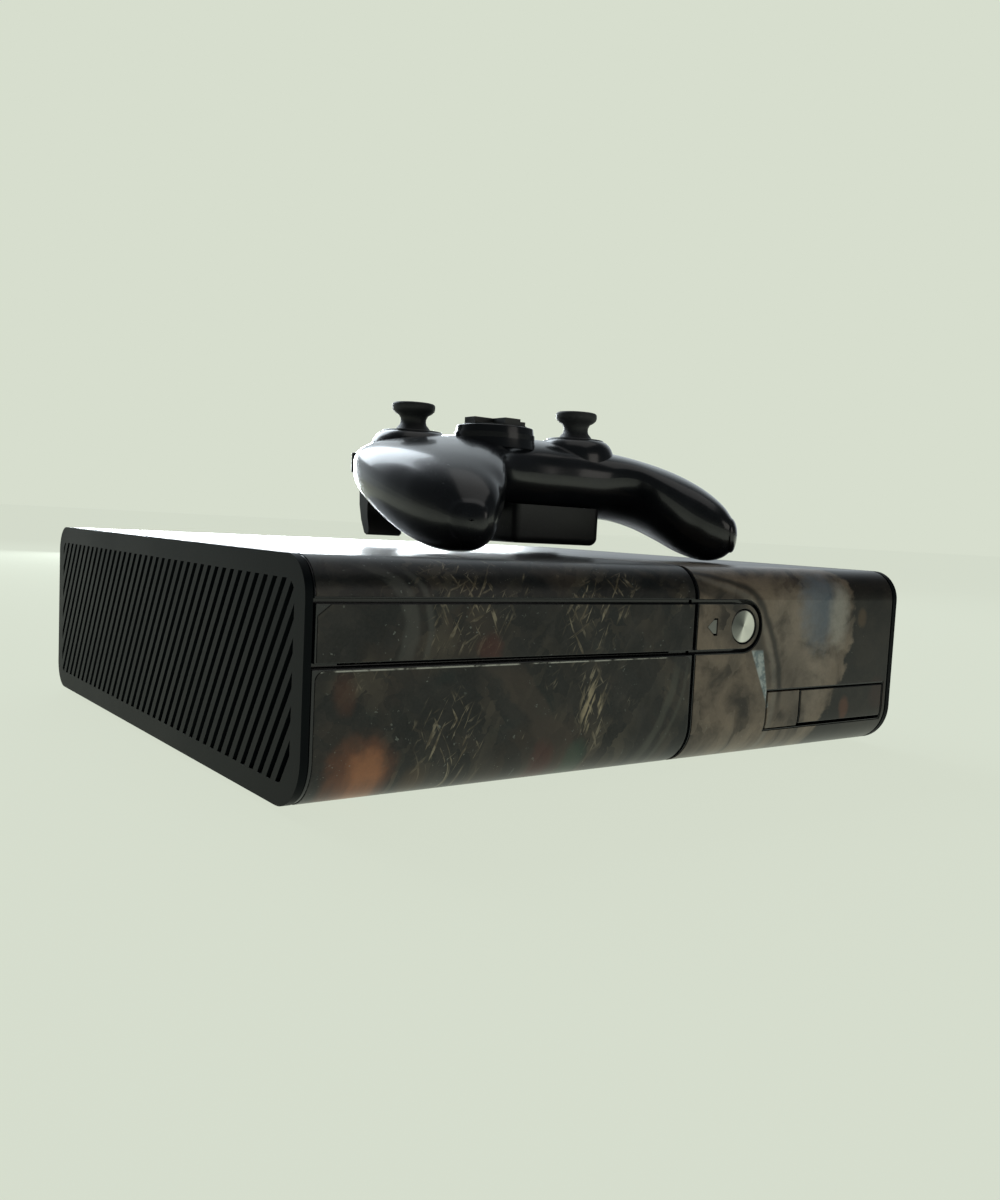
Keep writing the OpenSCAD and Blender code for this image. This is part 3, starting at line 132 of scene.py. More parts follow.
class Paint:
    """A material on Object coordinates with one Principled surface."""

    def __init__(self, name, **constants):
        self.material = bpy.data.materials.new(name)
        self.material.use_nodes = True
        self.tree = self.material.node_tree
        self.surface = self.tree.nodes["Principled BSDF"]
        for key, value in constants.items():
            self.surface.inputs[key.replace("_", " ")].default_value = value
        self.place = Wire(self.tree, self.tree.nodes.new("ShaderNodeTexCoord").outputs["Object"])

    def node(self, kind, settings=None, out=0, **inputs):
        node = self.tree.nodes.new("ShaderNode" + kind)
        for key, value in (settings or {}).items():
            if key == "stops":
                ramp = node.color_ramp
                while len(ramp.elements) < len(value):
                    ramp.elements.new(0.5)
                for element, (position, color) in zip(ramp.elements, value):
                    element.position, element.color = position, color
            else:
                setattr(node, key, value)
        for key, value in inputs.items():
            slot = int(key[1:]) if key[1:].isdigit() else key.replace("_", " ")
            plug(self.tree, node.inputs[slot], value)
        return Wire(self.tree, node.outputs[out])

    def axes(self):
        """The three coordinates in millimetres."""
        node = self.tree.nodes.new("ShaderNodeSeparateXYZ")
        plug(self.tree, node.inputs[0], self.place)
        return [Wire(self.tree, node.outputs[i]) * 1000 for i in range(3)]

    def join(self, x, y, z=0.0):
        return self.node("CombineXYZ", X=x, Y=y, Z=z)

    def noise(self, place, scale, detail=3.0, rough=0.5, distortion=0.0, out="Fac"):
        return self.node("TexNoise", out=out, Vector=place, Scale=scale, Detail=detail, Roughness=rough,
                         Distortion=distortion)

    def mix(self, factor, a, b, blend="MIX"):
        node = self.tree.nodes.new("ShaderNodeMix")
        node.data_type, node.blend_type = "RGBA", blend
        plug(self.tree, node.inputs[0], factor)
        for slot, value in ((6, a), (7, b)):
            if isinstance(value, tuple):
                value = (*value, 1.0)[:4]
            plug(self.tree, node.inputs[slot], value)
        return Wire(self.tree, node.outputs[2])

    def bump(self, height, strength, distance):
        return self.node("Bump", Height=height, Strength=strength, Distance=distance)

    def set(self, **wires):
        for key, value in wires.items():
            if isinstance(value, tuple):
                value = (*value, 1.0)[:4]
            plug(self.tree, self.surface.inputs[key.replace("_", " ")], value)
        return self.material


def moulded(name, color, rough, grain=0.0, wear=0.0, dust=0.03, scratch=0.0, metallic=0.0, coat=0.0):
    """Plastic or metal with clouded tone, fine grain, hairline scratches and settled dust."""
    p = Paint(name, Metallic=metallic, Coat_Weight=coat, Coat_Roughness=0.06)
    cloud = p.noise(p.place, 38.0, 4.0)
    fine = p.noise(p.place, 900.0, 3.0, 0.6)
    dark = tuple(c * 0.72 for c in color)
    light = tuple(min(1.0, c * 1.3 + 0.004) for c in color)
    tone = p.mix(cloud.step(0.3, 0.7), dark, light)
    specks = p.noise(p.place, 2600.0, 1.0).step(0.66, 0.74)
    patches = p.noise(p.place, 24.0, 3.0, 0.6).step(0.45, 0.75)
    grey = (0.32, 0.32, 0.3)
    tone = p.mix(specks * patches * dust * 6, tone, grey)
    roughness = rough + (cloud - 0.5) * rough * 0.5 + patches * dust * 1.6
    height = fine * grain
    if scratch:
        x, y, z = p.axes()
        drawn_out = p.join(x * 0.5 + z * 0.3, y * 0.02 + z * 0.35, x * 0.03)
        lines = p.noise(drawn_out, 1.6, 5.0, 0.8).step(0.66, 0.7)
        lines = lines * p.noise(p.place, 30.0, 2.0).step(0.5, 0.62) * scratch
        roughness = roughness + lines * 0.35
        tone = p.mix(lines * 0.4, tone, (0.2, 0.2, 0.2))
        height = height - lines * 0.3
    return p.set(Base_Color=tone, Roughness=roughness, Normal=p.bump(height, 0.6, 0.00005))


BLACK = moulded("gloss_black", (0.008, 0.009, 0.011), 0.13, grain=0.04, dust=0.03, scratch=0.5)
PAD_BLACK = moulded("pad_gloss_black", (0.0065, 0.0078, 0.0105), 0.23, grain=0.05, dust=0.02, scratch=1.0,
                    coat=0.2)
SATIN = moulded("satin_black", (0.014, 0.015, 0.017), 0.42, grain=0.5, dust=0.04)
RUBBER = moulded("stick_rubber", (0.016, 0.018, 0.02), 0.55, grain=0.9, dust=0.05)
FEET = moulded("foot_rubber", (0.012, 0.012, 0.012), 0.8, grain=1.0)
STEEL = moulded("zinc_steel", (0.55, 0.56, 0.58), 0.3, grain=0.2, metallic=1.0, scratch=0.4)
ALUMINIUM = moulded("aluminium", (0.72, 0.73, 0.75), 0.26, grain=0.2, metallic=1.0, scratch=0.3)
NYLON = moulded("nylon", (0.75, 0.72, 0.64), 0.4, grain=0.2)
GUIDE = moulded("guide_silver", (0.3, 0.31, 0.31), 0.2, metallic=0.8, coat=0.8)
RING = moulded("ring_smoke", (0.03, 0.04, 0.03), 0.15, coat=0.6)
KEY_COLORS = {"pad_button_south": (0.02, 0.3, 0.03), "pad_button_east": (0.42, 0.015, 0.012),
              "pad_button_west": (0.01, 0.05, 0.42), "pad_button_north": (0.5, 0.3, 0.01)}
KEYS = {node: moulded(node + "_lens", color, 0.1, coat=1.0) for node, color in KEY_COLORS.items()}


def board_green():
    p = Paint("circuit_board", Roughness=0.35)
    x, y, z = p.axes()
    tracks = p.node("TexBrick", {"offset": 0.5}, out="Fac", Vector=p.join(x * 0.05, y * 0.05), Scale=9.0,
                    Mortar_Size=0.02)
    tone = p.mix(p.noise(p.place, 60.0).step(0.35, 0.65), (0.008, 0.075, 0.03), (0.012, 0.13, 0.05))
    return p.set(Base_Color=p.mix(tracks * 0.7, tone, (0.05, 0.2, 0.08)), Normal=p.bump(tracks, 0.3, 0.00005))


def cap_charcoal():
    """Dark fine-textured plastic with a hazy sheen."""
    p = Paint("cap_charcoal", Specular_IOR_Level=0.05)
    x, y, z = p.axes()
    grain = p.noise(p.place, 1500.0, 2.0, 0.7)
    cloud = p.noise(p.place, 14.0, 3.0)
    tone = p.mix(cloud.step(0.35, 0.7), (0.003, 0.0045, 0.0056), (0.006, 0.0082, 0.0095))
    dust = p.noise(p.place, 2300.0, 1.0).step(0.64, 0.72) * cloud.step(0.4, 0.7)
    tone = p.mix(dust * 0.03, tone, (0.3, 0.31, 0.3))
    return p.set(Base_Color=tone, Roughness=0.42 + (cloud - 0.5) * 0.2, Normal=p.bump(grain, 0.3, 0.00005))


def spun_metal(name, cx, cz):
    """Disc turned on a lathe, so its gloss runs in rings; its fans of light and dark sectors are a reflection
    painted into its colour.
    """
    p = Paint(name, Metallic=1.0, Anisotropic=0.7)
    x, y, z = p.axes()
    dx, dz = x - cx, z - cz
    ray = dx.math("ARCTAN2", dz)
    radius = (dx * dx + dz * dz).math("SQRT")
    rings = p.noise(p.join(radius * 6.0, 0.0), 3.0, 2.0)
    # painted reflection: bright and dark sectors painted into the base colour, as a spun disc's gloss would
    # show them
    painted_reflection_fans = (ray - 0.35).sin() * 0.5 + 0.5
    painted_reflection_fans = painted_reflection_fans.step(0.3, 0.62) * 0.8 + ((ray * 2 + 0.5).sin() * 0.5 + 0.5) * 0.2
    tone = p.mix(painted_reflection_fans, (0.1, 0.105, 0.1), (0.8, 0.8, 0.74))
    edge = radius.step(5.6, 6.2)
    tone = p.mix(edge * 0.6, tone, (0.2, 0.2, 0.19))
    return p.set(Base_Color=tone, Roughness=0.24 + rings * 0.16, Normal=p.bump(rings, 0.3, 0.00003))


def printed_vinyl():
    """Film printed with an abstract collage: smoky greens, browns, straw-coloured strokes and a warm glow."""
    p = Paint("printed_vinyl", Specular_IOR_Level=0.3)
    x, y, z = p.axes()
    v = z + y + 132.0                                 # runs up the front and on over the lid
    flat = p.join(x * 0.01, v * 0.01)
    wander = p.noise(flat, 3.2, 4.0, 0.55, out="Color")
    bent = p.node("VectorMath", {"operation": "MULTIPLY_ADD"}, v0=wander, v1=(0.1, 0.1, 0.0), v2=flat)

    def band(low, high, soft, value):
        return value.step(low - soft, low + soft) * value.step(high + soft, high - soft)

    def blob(cx, cz, rx, rz, soft=1.0):
        dx, dz = (x - cx) / rx, (v - cz) / rz
        return (dx * dx + dz * dz + (p.noise(flat, 22.0, 3.0) - 0.5) * 0.9).step(soft, 0.0)

    def strokes(angle, long, short, seed, low, high):
        """Short straw strokes that lean by angle."""
        a = radians(angle)
        u = x * cos(a) + v * sin(a)
        w = v * cos(a) - x * sin(a)
        return p.noise(p.join(u / long + seed, w / short), 1.0, 2.0, 0.6, 0.25).step(low, high)

    def scraps(angle, long, short, seed):
        """Torn scraps that lean by angle, each with a tone of its own from 0 to 1."""
        a = radians(angle)
        u = x * cos(a) + v * sin(a) + (p.noise(flat, 26.0, 2.0) - 0.5) * 5
        w = v * cos(a) - x * sin(a) + (p.noise(flat, 31.0, 2.0) - 0.5) * 5
        return p.node("TexVoronoi", out="Color", Vector=p.join(u / long + seed, w / short), Scale=1.0)

    def ring(cx, cz, low, high, soft, waver):
        dx, dz = x - cx, v - cz
        radius = (dx * dx + dz * dz).math("SQRT") + (p.noise(flat, 6.0, 2.0) - 0.5) * waver
        return band(low, high, soft, radius)

    # smoky ground of the left part, with torn scraps over it
    smoke = p.noise(bent, 7.0, 6.0, 0.62, 0.4)
    drift = p.noise(bent, 3.0, 3.0, 0.5)
    tone = p.mix(smoke.step(0.36, 0.62), (0.0035, 0.0044, 0.0046), (0.0215, 0.0205, 0.0195))
    tone = p.mix(drift.step(0.47, 0.66) * 0.7, tone, (0.042, 0.03, 0.022))
    tone = p.mix(p.noise(bent, 5.0, 3.0).step(0.56, 0.72) * 0.6, tone, (0.008, 0.022, 0.021))
    leaf, flake = scraps(58, 15.0, 4.2, 2.0), scraps(-42, 11.0, 3.4, 9.0)
    busy = p.noise(flat, 4.5, 3.0).step(0.4, 0.62)
    tone = p.mix(leaf.step(0.5, 0.8) * busy * 0.55, tone, (0.085, 0.072, 0.052))
    tone = p.mix(leaf.step(0.42, 0.2) * 0.6, tone, (0.004, 0.005, 0.005))
    tone = p.mix(flake.step(0.62, 0.74) * busy * 0.5, tone, (0.05, 0.04, 0.03))
    tone = p.mix(flake.step(0.34, 0.26) * 0.45, tone, (0.005, 0.008, 0.009))
    # curved grey bands and a leaning brown one
    grey = ring(-128, 54, 24, 29, 1.0, 5).max(ring(-128, 54, 32, 34, 0.7, 5))
    grey = grey * v.step(40, 48) * v.step(82, 70)
    tone = p.mix(grey * smoke.step(0.3, 0.5) * 0.55, tone, (0.085, 0.085, 0.078))
    lean = (x + 68 + (v - 43) * 0.89 + (p.noise(flat, 9.0, 3.0) - 0.5) * 14).abs().step(8, 5)
    tone = p.mix(lean * v.step(46, 38) * 0.55, tone, (0.062, 0.045, 0.034))
    sheaf = ring(-38, 44, 44, 47, 0.8, 4).max(ring(-38, 44, 50, 51.5, 0.6, 4) * 0.8)
    sheaf = sheaf * v.step(44, 34) * x.step(-12, -2)
    tone = p.mix(sheaf * 0.5, tone, (0.085, 0.088, 0.072))
    # clusters of straw-coloured strokes
    clusters = blob(-86, 18, 15, 22).max(blob(-31, 28, 9, 19)).max(blob(-80, 60, 18, 16)).max(
        blob(-34, 56, 13, 20)).max(blob(-88, 74, 12, 10) * 0.8).max(blob(-20, 66, 10, 14) * 0.8)
    clusters = clusters.max(p.noise(flat, 9.0, 2.0).step(0.58, 0.7) * 0.5)
    straw = strokes(64, 13.0, 1.6, 3.0, 0.58, 0.65).max(strokes(118, 11.0, 1.7, 11.0, 0.6, 0.67) * 0.85)
    straw = straw.max(strokes(30, 12.0, 1.4, 7.0, 0.6, 0.68) * 0.6)
    straw_tone = p.mix(p.noise(flat, 30.0).step(0.4, 0.65), (0.12, 0.095, 0.06), (0.36, 0.31, 0.22))
    left_tone = p.mix((straw * clusters).min(1.0) * 0.85, tone, straw_tone)
    bars = strokes(72, 16.0, 2.1, 19.0, 0.48, 0.55) * blob(-31, 27, 6, 10)
    left_tone = p.mix(bars * 0.9, left_tone, (0.42, 0.35, 0.23))
    chalk = p.noise(bent, 60.0, 2.0).step(0.66, 0.7) * p.noise(flat, 8.0).step(0.48, 0.6)
    left_tone = p.mix(chalk * 0.6, left_tone, (0.2, 0.22, 0.2))
    # warm glow, rusty and green glints
    left_tone = p.mix(blob(-116, 15, 14, 11) * 0.8, left_tone, (0.16, 0.06, 0.03))
    left_tone = p.mix(blob(-114, 15, 8, 6) * 0.8, left_tone, (0.36, 0.15, 0.07))
    left_tone = p.mix(blob(-122, 36, 5, 8) * 0.5, left_tone, (0.09, 0.03, 0.015))
    glints = [(-73, 48, 6, (0.12, 0.025, 0.018)), (-50, 13, 6, (0.1, 0.02, 0.014)),
              (-36, 12, 6, (0.01, 0.075, 0.05)), (-98, 8, 7, (0.09, 0.05, 0.025))]
    for cx, cz, size, color in glints:
        left_tone = p.mix(blob(cx, cz, size, size) * 0.4, left_tone, color)
    # brown and beige ground of the right part
    clay = p.noise(bent, 6.0, 5.0, 0.6, 0.3)
    right_tone = p.mix(clay.step(0.34, 0.66), (0.028, 0.021, 0.016), (0.2, 0.155, 0.115))
    right_tone = p.mix(scraps(70, 14.0, 7.0, 4.0).step(0.3, 0.8) * 0.35, right_tone, (0.26, 0.21, 0.16))
    paper = blob(74, 42, 26, 34, 1.1)
    right_tone = p.mix(paper * clay.step(0.2, 0.6) * 0.75, right_tone, (0.3, 0.25, 0.2))
    right_tone = p.mix(blob(70, 30, 12, 22, 1.1) * 0.45, right_tone, (0.05, 0.038, 0.03))
    rings = ((x - 12) * (x - 12) + (v - 26) * (v - 26)).math("SQRT")
    rings = rings + (p.noise(flat, 5.0, 2.0) - 0.5) * 7
    right_tone = p.mix(band(40, 46, 1.6, rings) * 0.6 * v.step(20, 34), right_tone, (0.02, 0.019, 0.018))
    right_tone = p.mix(band(49.5, 52.5, 1.2, rings) * 0.8 * v.step(16, 30), right_tone, (0.012, 0.012, 0.012))
    right_tone = p.mix(band(46.4, 49, 1.0, rings) * 0.4, right_tone, (0.2, 0.19, 0.17))
    right_tone = p.mix(blob(85, 62, 15, 22, 1.1) * 0.7, right_tone, (0.15, 0.19, 0.24))
    right_tone = p.mix(blob(97, 58, 8, 18, 1.0) * 0.8, right_tone, (0.36, 0.34, 0.3))
    spike = ((x - 49.5 - (43 - v) * 0.36).abs() - (v - 20) * 0.13).step(0.6, -0.5) * band(22, 44, 0.6, v)
    spike_tone = p.mix(p.noise(flat, 40.0, 3.0).step(0.4, 0.6), (0.2, 0.26, 0.28), (0.5, 0.56, 0.56))
    right_tone = p.mix(spike * 0.9, right_tone, spike_tone)
    # near-black right end behind a curved boundary
    edge = x - 106 + (v - 54) * (v - 54) * 0.011 + (p.noise(flat, 16.0, 4.0, 0.6) - 0.5) * 13
    night = p.mix(smoke.step(0.35, 0.7), (0.0065, 0.0065, 0.006), (0.022, 0.018, 0.014))
    right_tone = p.mix(edge.step(-1.0, 2.0), right_tone, night)
    right_tone = p.mix(blob(112, 56, 4, 5) * 0.5, right_tone, (0.14, 0.09, 0.05))
    right_tone = p.mix(blob(104, 19, 4, 6) * 0.6, right_tone, (0.16, 0.06, 0.03))
    right_tone = p.mix(blob(126, 24, 7, 9) * 0.4, right_tone, (0.05, 0.016, 0.012))
    tone = p.mix(x.step(15.2, 16.0), left_tone, right_tone)
    # print grain, dust specks and a satin film that takes the light unevenly
    grain = p.noise(p.place, 1300.0, 2.0, 0.7)
    tone = p.mix((grain - 0.5) * 0.4 + 0.08, tone, (0.06, 0.056, 0.05))
    specks = p.noise(p.place, 1500.0, 1.0).step(0.735, 0.76) * p.noise(p.place, 40.0).step(0.5, 0.6)
    tone = p.mix(specks * 0.5, tone, (0.35, 0.35, 0.3))
    roughness = 0.33 + (p.noise(p.place, 45.0, 3.0) - 0.5) * 0.1 + (grain - 0.5) * 0.06
    peel = p.noise(p.place, 420.0, 2.0, 0.5)
    return p, tone, roughness, p.bump(peel * 0.6 + grain * 0.4, 0.16, 0.00006)


def vinyl(name, worn_lines):
    """The print, with the pale edges that show where the film has lifted or chipped."""
    p, tone, roughness, normal = printed_vinyl()
    p.material.name = name
    x, y, z = p.axes()
    ragged = p.noise(p.place, 160.0, 3.0, 0.7)
    for x0, x1, z0, width in worn_lines:
        line = (z - z0).abs().step(width, width * 0.4) * x.step(x0 - 1, x0 + 1) * x.step(x1 + 1, x1 - 1)
        tone = p.mix(line * ragged.step(0.36, 0.5), tone, (0.42, 0.42, 0.38))
    return p.set(Base_Color=tone, Roughness=roughness, Normal=normal)


FILM = vinyl("vinyl_film", [(-131, -62, 42.62, 0.34), (-56, -24, 42.66, 0.3), (-22, 2, 42.7, 0.2)])
CHARCOAL = cap_charcoal()
GREEN = board_green()


# ---------------------------------------------------------------- mesh helpers

def new_piece(name, bm, material, body, replaces=()):
    mesh = bpy.data.meshes.new(name)
    bm.to_mesh(mesh)
    bm.free()
    mesh.materials.append(material)
    piece = bpy.data.objects.new(name, mesh)
    bpy.context.scene.collection.objects.link(piece)
    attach(piece, body)
    if replaces:
        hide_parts(*replaces)
    return piece


def crease(bm, degrees):
    for face in bm.faces:
        face.smooth = True
    for edge in bm.edges:
        edge.smooth = len(edge.link_faces) == 2 and edge.calc_face_angle(0.0) < radians(degrees)


def finished_copy(node, material, width=0.3, segments=2, angle=32.0):
    """A CAD node's shape with its edges softened and a finished surface."""
    bm = bmesh.new()
    bm.from_mesh(frame["nodes"][node].data)
    bmesh.ops.remove_doubles(bm, verts=bm.verts, dist=3e-6)
    bmesh.ops.dissolve_limit(bm, angle_limit=radians(0.4), use_dissolve_boundaries=False, verts=bm.verts,
                             edges=bm.edges, delimit={"NORMAL"})
    crease(bm, angle)
    body = next(b for b, nodes in frame["record"]["behaviour"]["bodies"].items() if node in nodes)
    piece = new_piece(node + "_finish", bm, material, body, (node,))
    if width:
        soften = piece.modifiers.new("edges", "BEVEL")
        soften.width = width * MM
        soften.segments = segments
        soften.limit_method = "ANGLE"
        soften.angle_limit = radians(angle)
        soften.harden_normals = True
        soften.use_clamp_overlap = True
    return piece


def spun(name, profile, place, material, body, replaces=(), steps=64):
    """Turns a profile of (radius, height) points in millimetres about the Z axis at a place."""
    bm = bmesh.new()
    verts = [bm.verts.new((r * MM, 0, h * MM)) for r, h in profile]
    edges = [bm.edges.new(pair) for pair in zip(verts, verts[1:])]
    bmesh.ops.spin(bm, geom=verts + edges, cent=(0, 0, 0), axis=(0, 0, 1), angle=2 * pi, steps=steps,
                   use_merge=True)
    bmesh.ops.remove_doubles(bm, verts=bm.verts, dist=1e-6)
    bmesh.ops.recalc_face_normals(bm, faces=bm.faces)
    bmesh.ops.translate(bm, vec=Vector(place) * MM, verts=bm.verts)
    crease(bm, 40)
    return new_piece(name, bm, material, body, replaces)


def arc(cx, cz, r, a0, a1, n):
    """n + 1 points on an arc, from the angle a0 to a1 in degrees."""
    turns = [radians(a0 + (a1 - a0) * k / n) for k in range(n + 1)]
    return [(cx + r * cos(a), cz + r * sin(a)) for a in turns]


# ---------------------------------------------------------------- console

CONSOLE = {
    "front_panel_left": (BLACK, "gloss_black", 0.35), "front_panel_right": (BLACK, "gloss_black", 0.35),
    "upper_shell": (BLACK, "gloss_black", 0.3), "lower_shell": (SATIN, "satin_black", 0.3),
    "rear_panel": (SATIN, "satin_black", 0.25), "button_strip": (BLACK, "gloss_black", 0.3),
    "tray_bezel": (BLACK, "gloss_black", 0.3), "usb_flap": (BLACK, "gloss_black", 0.25),
    "left_end_cap": (CHARCOAL, "cap_charcoal", 0.55), "right_end_cap": (CHARCOAL, "cap_charcoal", 0.55),
    "hard_drive_door": (CHARCOAL, "cap_charcoal", 0.3), "vinyl_wrap": (FILM, "printed_vinyl", 0.1),
    "tray_vinyl": (FILM, "printed_vinyl", 0.1), "flap_vinyl": (FILM, "printed_vinyl", 0.1),
    "pairing_button": (FILM, "printed_vinyl", 0.25), "rubber_feet": (FEET, "foot_rubber", 0.4)}
for node, (material, slot, width) in CONSOLE.items():
    finished_copy(node, material, width)

low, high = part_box("power_button")
power_place = [(low[0] + high[0]) * 500, low[1] * 1000, (low[2] + high[2]) * 500]
SPUN = spun_metal("spun_metal", power_place[0], power_place[2])
finished_copy("power_button", SPUN, 0.5, 3)
finished_copy("eject_button", SPUN, 0.2)

# ---------------------------------------------------------------- inside and rear, shown as built

SHOWN = [
    (STEEL, ("drive_case", "drive_deck", "front_usb_ports", "rear_ports", "hard_drive", "pad_motors",
             "pad_screws", "pad_weight_left", "pad_weight_right", "pad_gimbal_left", "pad_gimbal_right",
             "pad_dpad_cradle")),
    (GREEN, ("mainboard", "front_board", "pad_board")),
    (ALUMINIUM, ("heat_sink",)),
    (NYLON, ("tray_pinion",)),
    (SATIN, ("disc_tray", "laser_sled", "spindle_hub", "fan_housing", "fan_rotor", "av_jack",
             "pad_pairing_button"))]
for material, nodes in SHOWN:
    for node in nodes:
        mesh = frame["nodes"][node].data
        mesh.materials.clear()
        mesh.materials.append(material)

# ---------------------------------------------------------------- controller shell

PAD = Vector((11.0, -8.0, 75.0))                      # the controller's own origin on the lid
# cross-sections of the shell: near end x, y, far end x, y, height of the seam, rise above it, drop below it
RIBS = [(0, -46, 0, 24, 33, 15.5, 18), (12, -46, 20, 24.5, 33, 15.5, 18), (22, -47.5, 38, 23.5, 33, 14.5, 18),
        (29, -50, 53, 19, 33.8, 12.2, 17.5), (33.5, -54, 64, 10, 33.6, 10.9, 17.8),
        (36.5, -59, 71, -4, 32, 10.5, 19), (39.5, -64.5, 75, -20, 28.5, 11.5, 20),
        (43.5, -70, 76.5, -36, 24.3, 12.4, 20.4),
        (48.5, -75, 76, -51, 20, 12.5, 18.8), (52.2, -79.4, 74.8, -61.6, 17.2, 11.2, 16.4),
        (56.6, -83, 73, -70, 15, 8.9, 12.8), (60.3, -84.6, 71.5, -75.8, 13.4, 6, 8.6)]
TIP = (66.6, -83.2, 12.2)
LAST = len(RIBS) - 1


def rib(s):
    """The cross-section at s, on a smooth curve through the listed ones."""
    def row(k):
        if k < 0:
            r = RIBS[1]
            return (-r[0], r[1], -r[2], r[3], r[4], r[5], r[6])
        return RIBS[min(k, LAST)]
    k = min(int(s), LAST - 1)
    t = s - k
    return [((2 * b) + (c - a) * t + (2 * a - 5 * b + 4 * c - d) * t * t
             + (3 * b - a - 3 * c + d) * t ** 3) / 2
            for a, b, c, d in zip(row(k - 1), row(k), row(k + 1), row(k + 2))]


def squarish(v):
    """Fills a circle's sine or cosine out towards a rounded square."""
    return (1 if v >= 0 else -1) * abs(v) ** 0.8


def shell_point(s, turn, inset, side):
    """Point of the cross-section at s, turn round from its far end and inset below the surface."""
    r = rib(s)
    chord = Vector((r[2] - r[0], r[3] - r[1]))
    half = chord.length / 2
    pull = max(half - inset, half * 0.3) / half
    u = squarish(cos(turn)) * pull
    reach = r[5] if sin(turn) >= 0 else r[6]
    rise = max(reach - inset, reach * 0.3) * squarish(sin(turn))
    x, y = (r[0] + r[2]) / 2 + u * chord.x / 2, (r[1] + r[3]) / 2 + u * chord.y / 2
    return Vector((side * x, y, r[4] + rise))


def half_shell(start, facing, wall=2.2, steps=36, fine=6):
    """Hollow half of the controller: arcs bridged along the ribs from tip to tip, closed and given a wall."""
    bm = bmesh.new()
    turns = [start + pi * (0.65 * j / steps + 0.35 * (0.5 - 0.5 * cos(pi * j / steps)))
             for j in range(steps + 1)]

    def chain(points):
        verts = [bm.verts.new(point * MM) for point in points]
        return [bm.edges.new(pair) for pair in zip(verts, verts[1:])]

    rows = []
    for side in (-1, 1):
        end = [PAD + shell_point(LAST, a, 0, side) for a in turns]
        middle = (end[0] + end[-1]) / 2
        tip = PAD + Vector((side * TIP[0], TIP[1], TIP[2]))
        cap = [[middle + (tip - middle) * sin(t) + (point - middle) * cos(t) for point in end]
               for t in (radians(d) for d in (15, 30, 44, 57, 69, 79, 86))]
        body = [[PAD + shell_point(k / fine, a, 0, side) for a in turns] for k in range(LAST * fine, 0, -1)]
        rows.append((cap[::-1] + body) if side < 0 else (body[::-1] + cap))
    rows = rows[0] + [[PAD + shell_point(0, a, 0, 1) for a in turns]] + rows[1]
    chains = [chain(row) for row in rows]
    for one, two in zip(chains, chains[1:]):
        bmesh.ops.bridge_loops(bm, edges=one + two)
    for edges in (chains[0], chains[-1]):
        verts = {v for e in edges for v in e.verts}
        centre = sum((v.co for v in verts), Vector()) / len(verts)
        bmesh.ops.pointmerge(bm, verts=list(verts), merge_co=centre)
    bmesh.ops.recalc_face_normals(bm, faces=bm.faces)
    if sum(f.normal.z for f in bm.faces) * facing < 0:
        bmesh.ops.reverse_faces(bm, faces=bm.faces)
    bmesh.ops.solidify(bm, geom=bm.faces[:], thickness=wall * MM)
    bmesh.ops.recalc_face_normals(bm, faces=bm.faces)
    return bm


def plug_cutter(x, y, z0, z1, radius):
    """Upright round cutter, from z0 to z1."""
    bm = bmesh.new()
    bmesh.ops.create_cone(bm, cap_ends=True, segments=64, radius1=radius * MM, radius2=radius * MM,
                          depth=(z1 - z0) * MM)
    centre = (PAD + Vector((x, y, (z0 + z1) / 2))) * MM
    bmesh.ops.translate(bm, vec=centre, verts=bm.verts)
    return bm


def block_cutter(low, high):
    bm = bmesh.new()
    bmesh.ops.create_cube(bm, size=1.0)
    size = [(b - a) * MM for a, b in zip(low, high)]
    centre = (PAD + (Vector(low) + Vector(high)) / 2) * MM
    bmesh.ops.scale(bm, vec=size, verts=bm.verts)
    bmesh.ops.translate(bm, vec=centre, verts=bm.verts)
    return bm


def bumper_cutter(side, a, b, z0, z1, s0, s1):
    """Prism along the far edge of the shell, from inside by a to outside by b."""
    bm = bmesh.new()
    rows = [rib(s0 + (s1 - s0) * k / 24) for k in range(25)]
    ways = [Vector((r[2] - r[0], r[3] - r[1])).normalized() for r in rows]
    line = [Vector((r[2], r[3])) + w * b for r, w in zip(rows, ways)]
    line += [Vector((r[2], r[3])) - w * a for r, w in reversed(list(zip(rows, ways)))]
    face = bm.faces.new([bm.verts.new((PAD + Vector((side * q.x, q.y, z0))) * MM) for q in line])
    grown = bmesh.ops.extrude_face_region(bm, geom=[face])["geom"]
    raised = [g for g in grown if isinstance(g, bmesh.types.BMVert)]
    bmesh.ops.translate(bm, vec=(0, 0, (z1 - z0) * MM), verts=raised)
    bmesh.ops.recalc_face_normals(bm, faces=bm.faces)
    return bm


def bumper_cutters():
    return [bumper_cutter(side, 8, 6, 29.1, 37.9, 1.35, 4.35) for side in (-1, 1)]


def carve(bm, cutters, degrees=32):
    """The mesh with every cutter taken out of it."""
    mesh = bpy.data.meshes.new("carved")
    bm.to_mesh(mesh)
    bm.free()
    work = bpy.data.objects.new("carved", mesh)
    bpy.context.scene.collection.objects.link(work)
    tools = []
    for cutter in cutters:
        tool_mesh = bpy.data.meshes.new("cutter")
        cutter.to_mesh(tool_mesh)
        cutter.free()
        tool = bpy.data.objects.new("cutter", tool_mesh)
        bpy.context.scene.collection.objects.link(tool)
        cut = work.modifiers.new("cut", "BOOLEAN")
        cut.operation, cut.object, cut.solver = "DIFFERENCE", tool, "EXACT"
        tools.append(tool)
    bpy.context.view_layer.update()
    result = bmesh.new()
    result.from_mesh(work.evaluated_get(bpy.context.evaluated_depsgraph_get()).to_mesh())
    for o in [work, *tools]:
        bpy.data.objects.remove(o)
    bmesh.ops.remove_doubles(result, verts=result.verts, dist=4e-6)
    bmesh.ops.triangulate(result, faces=[f for f in result.faces if len(f.verts) > 4])
    crease(result, degrees)
    return result


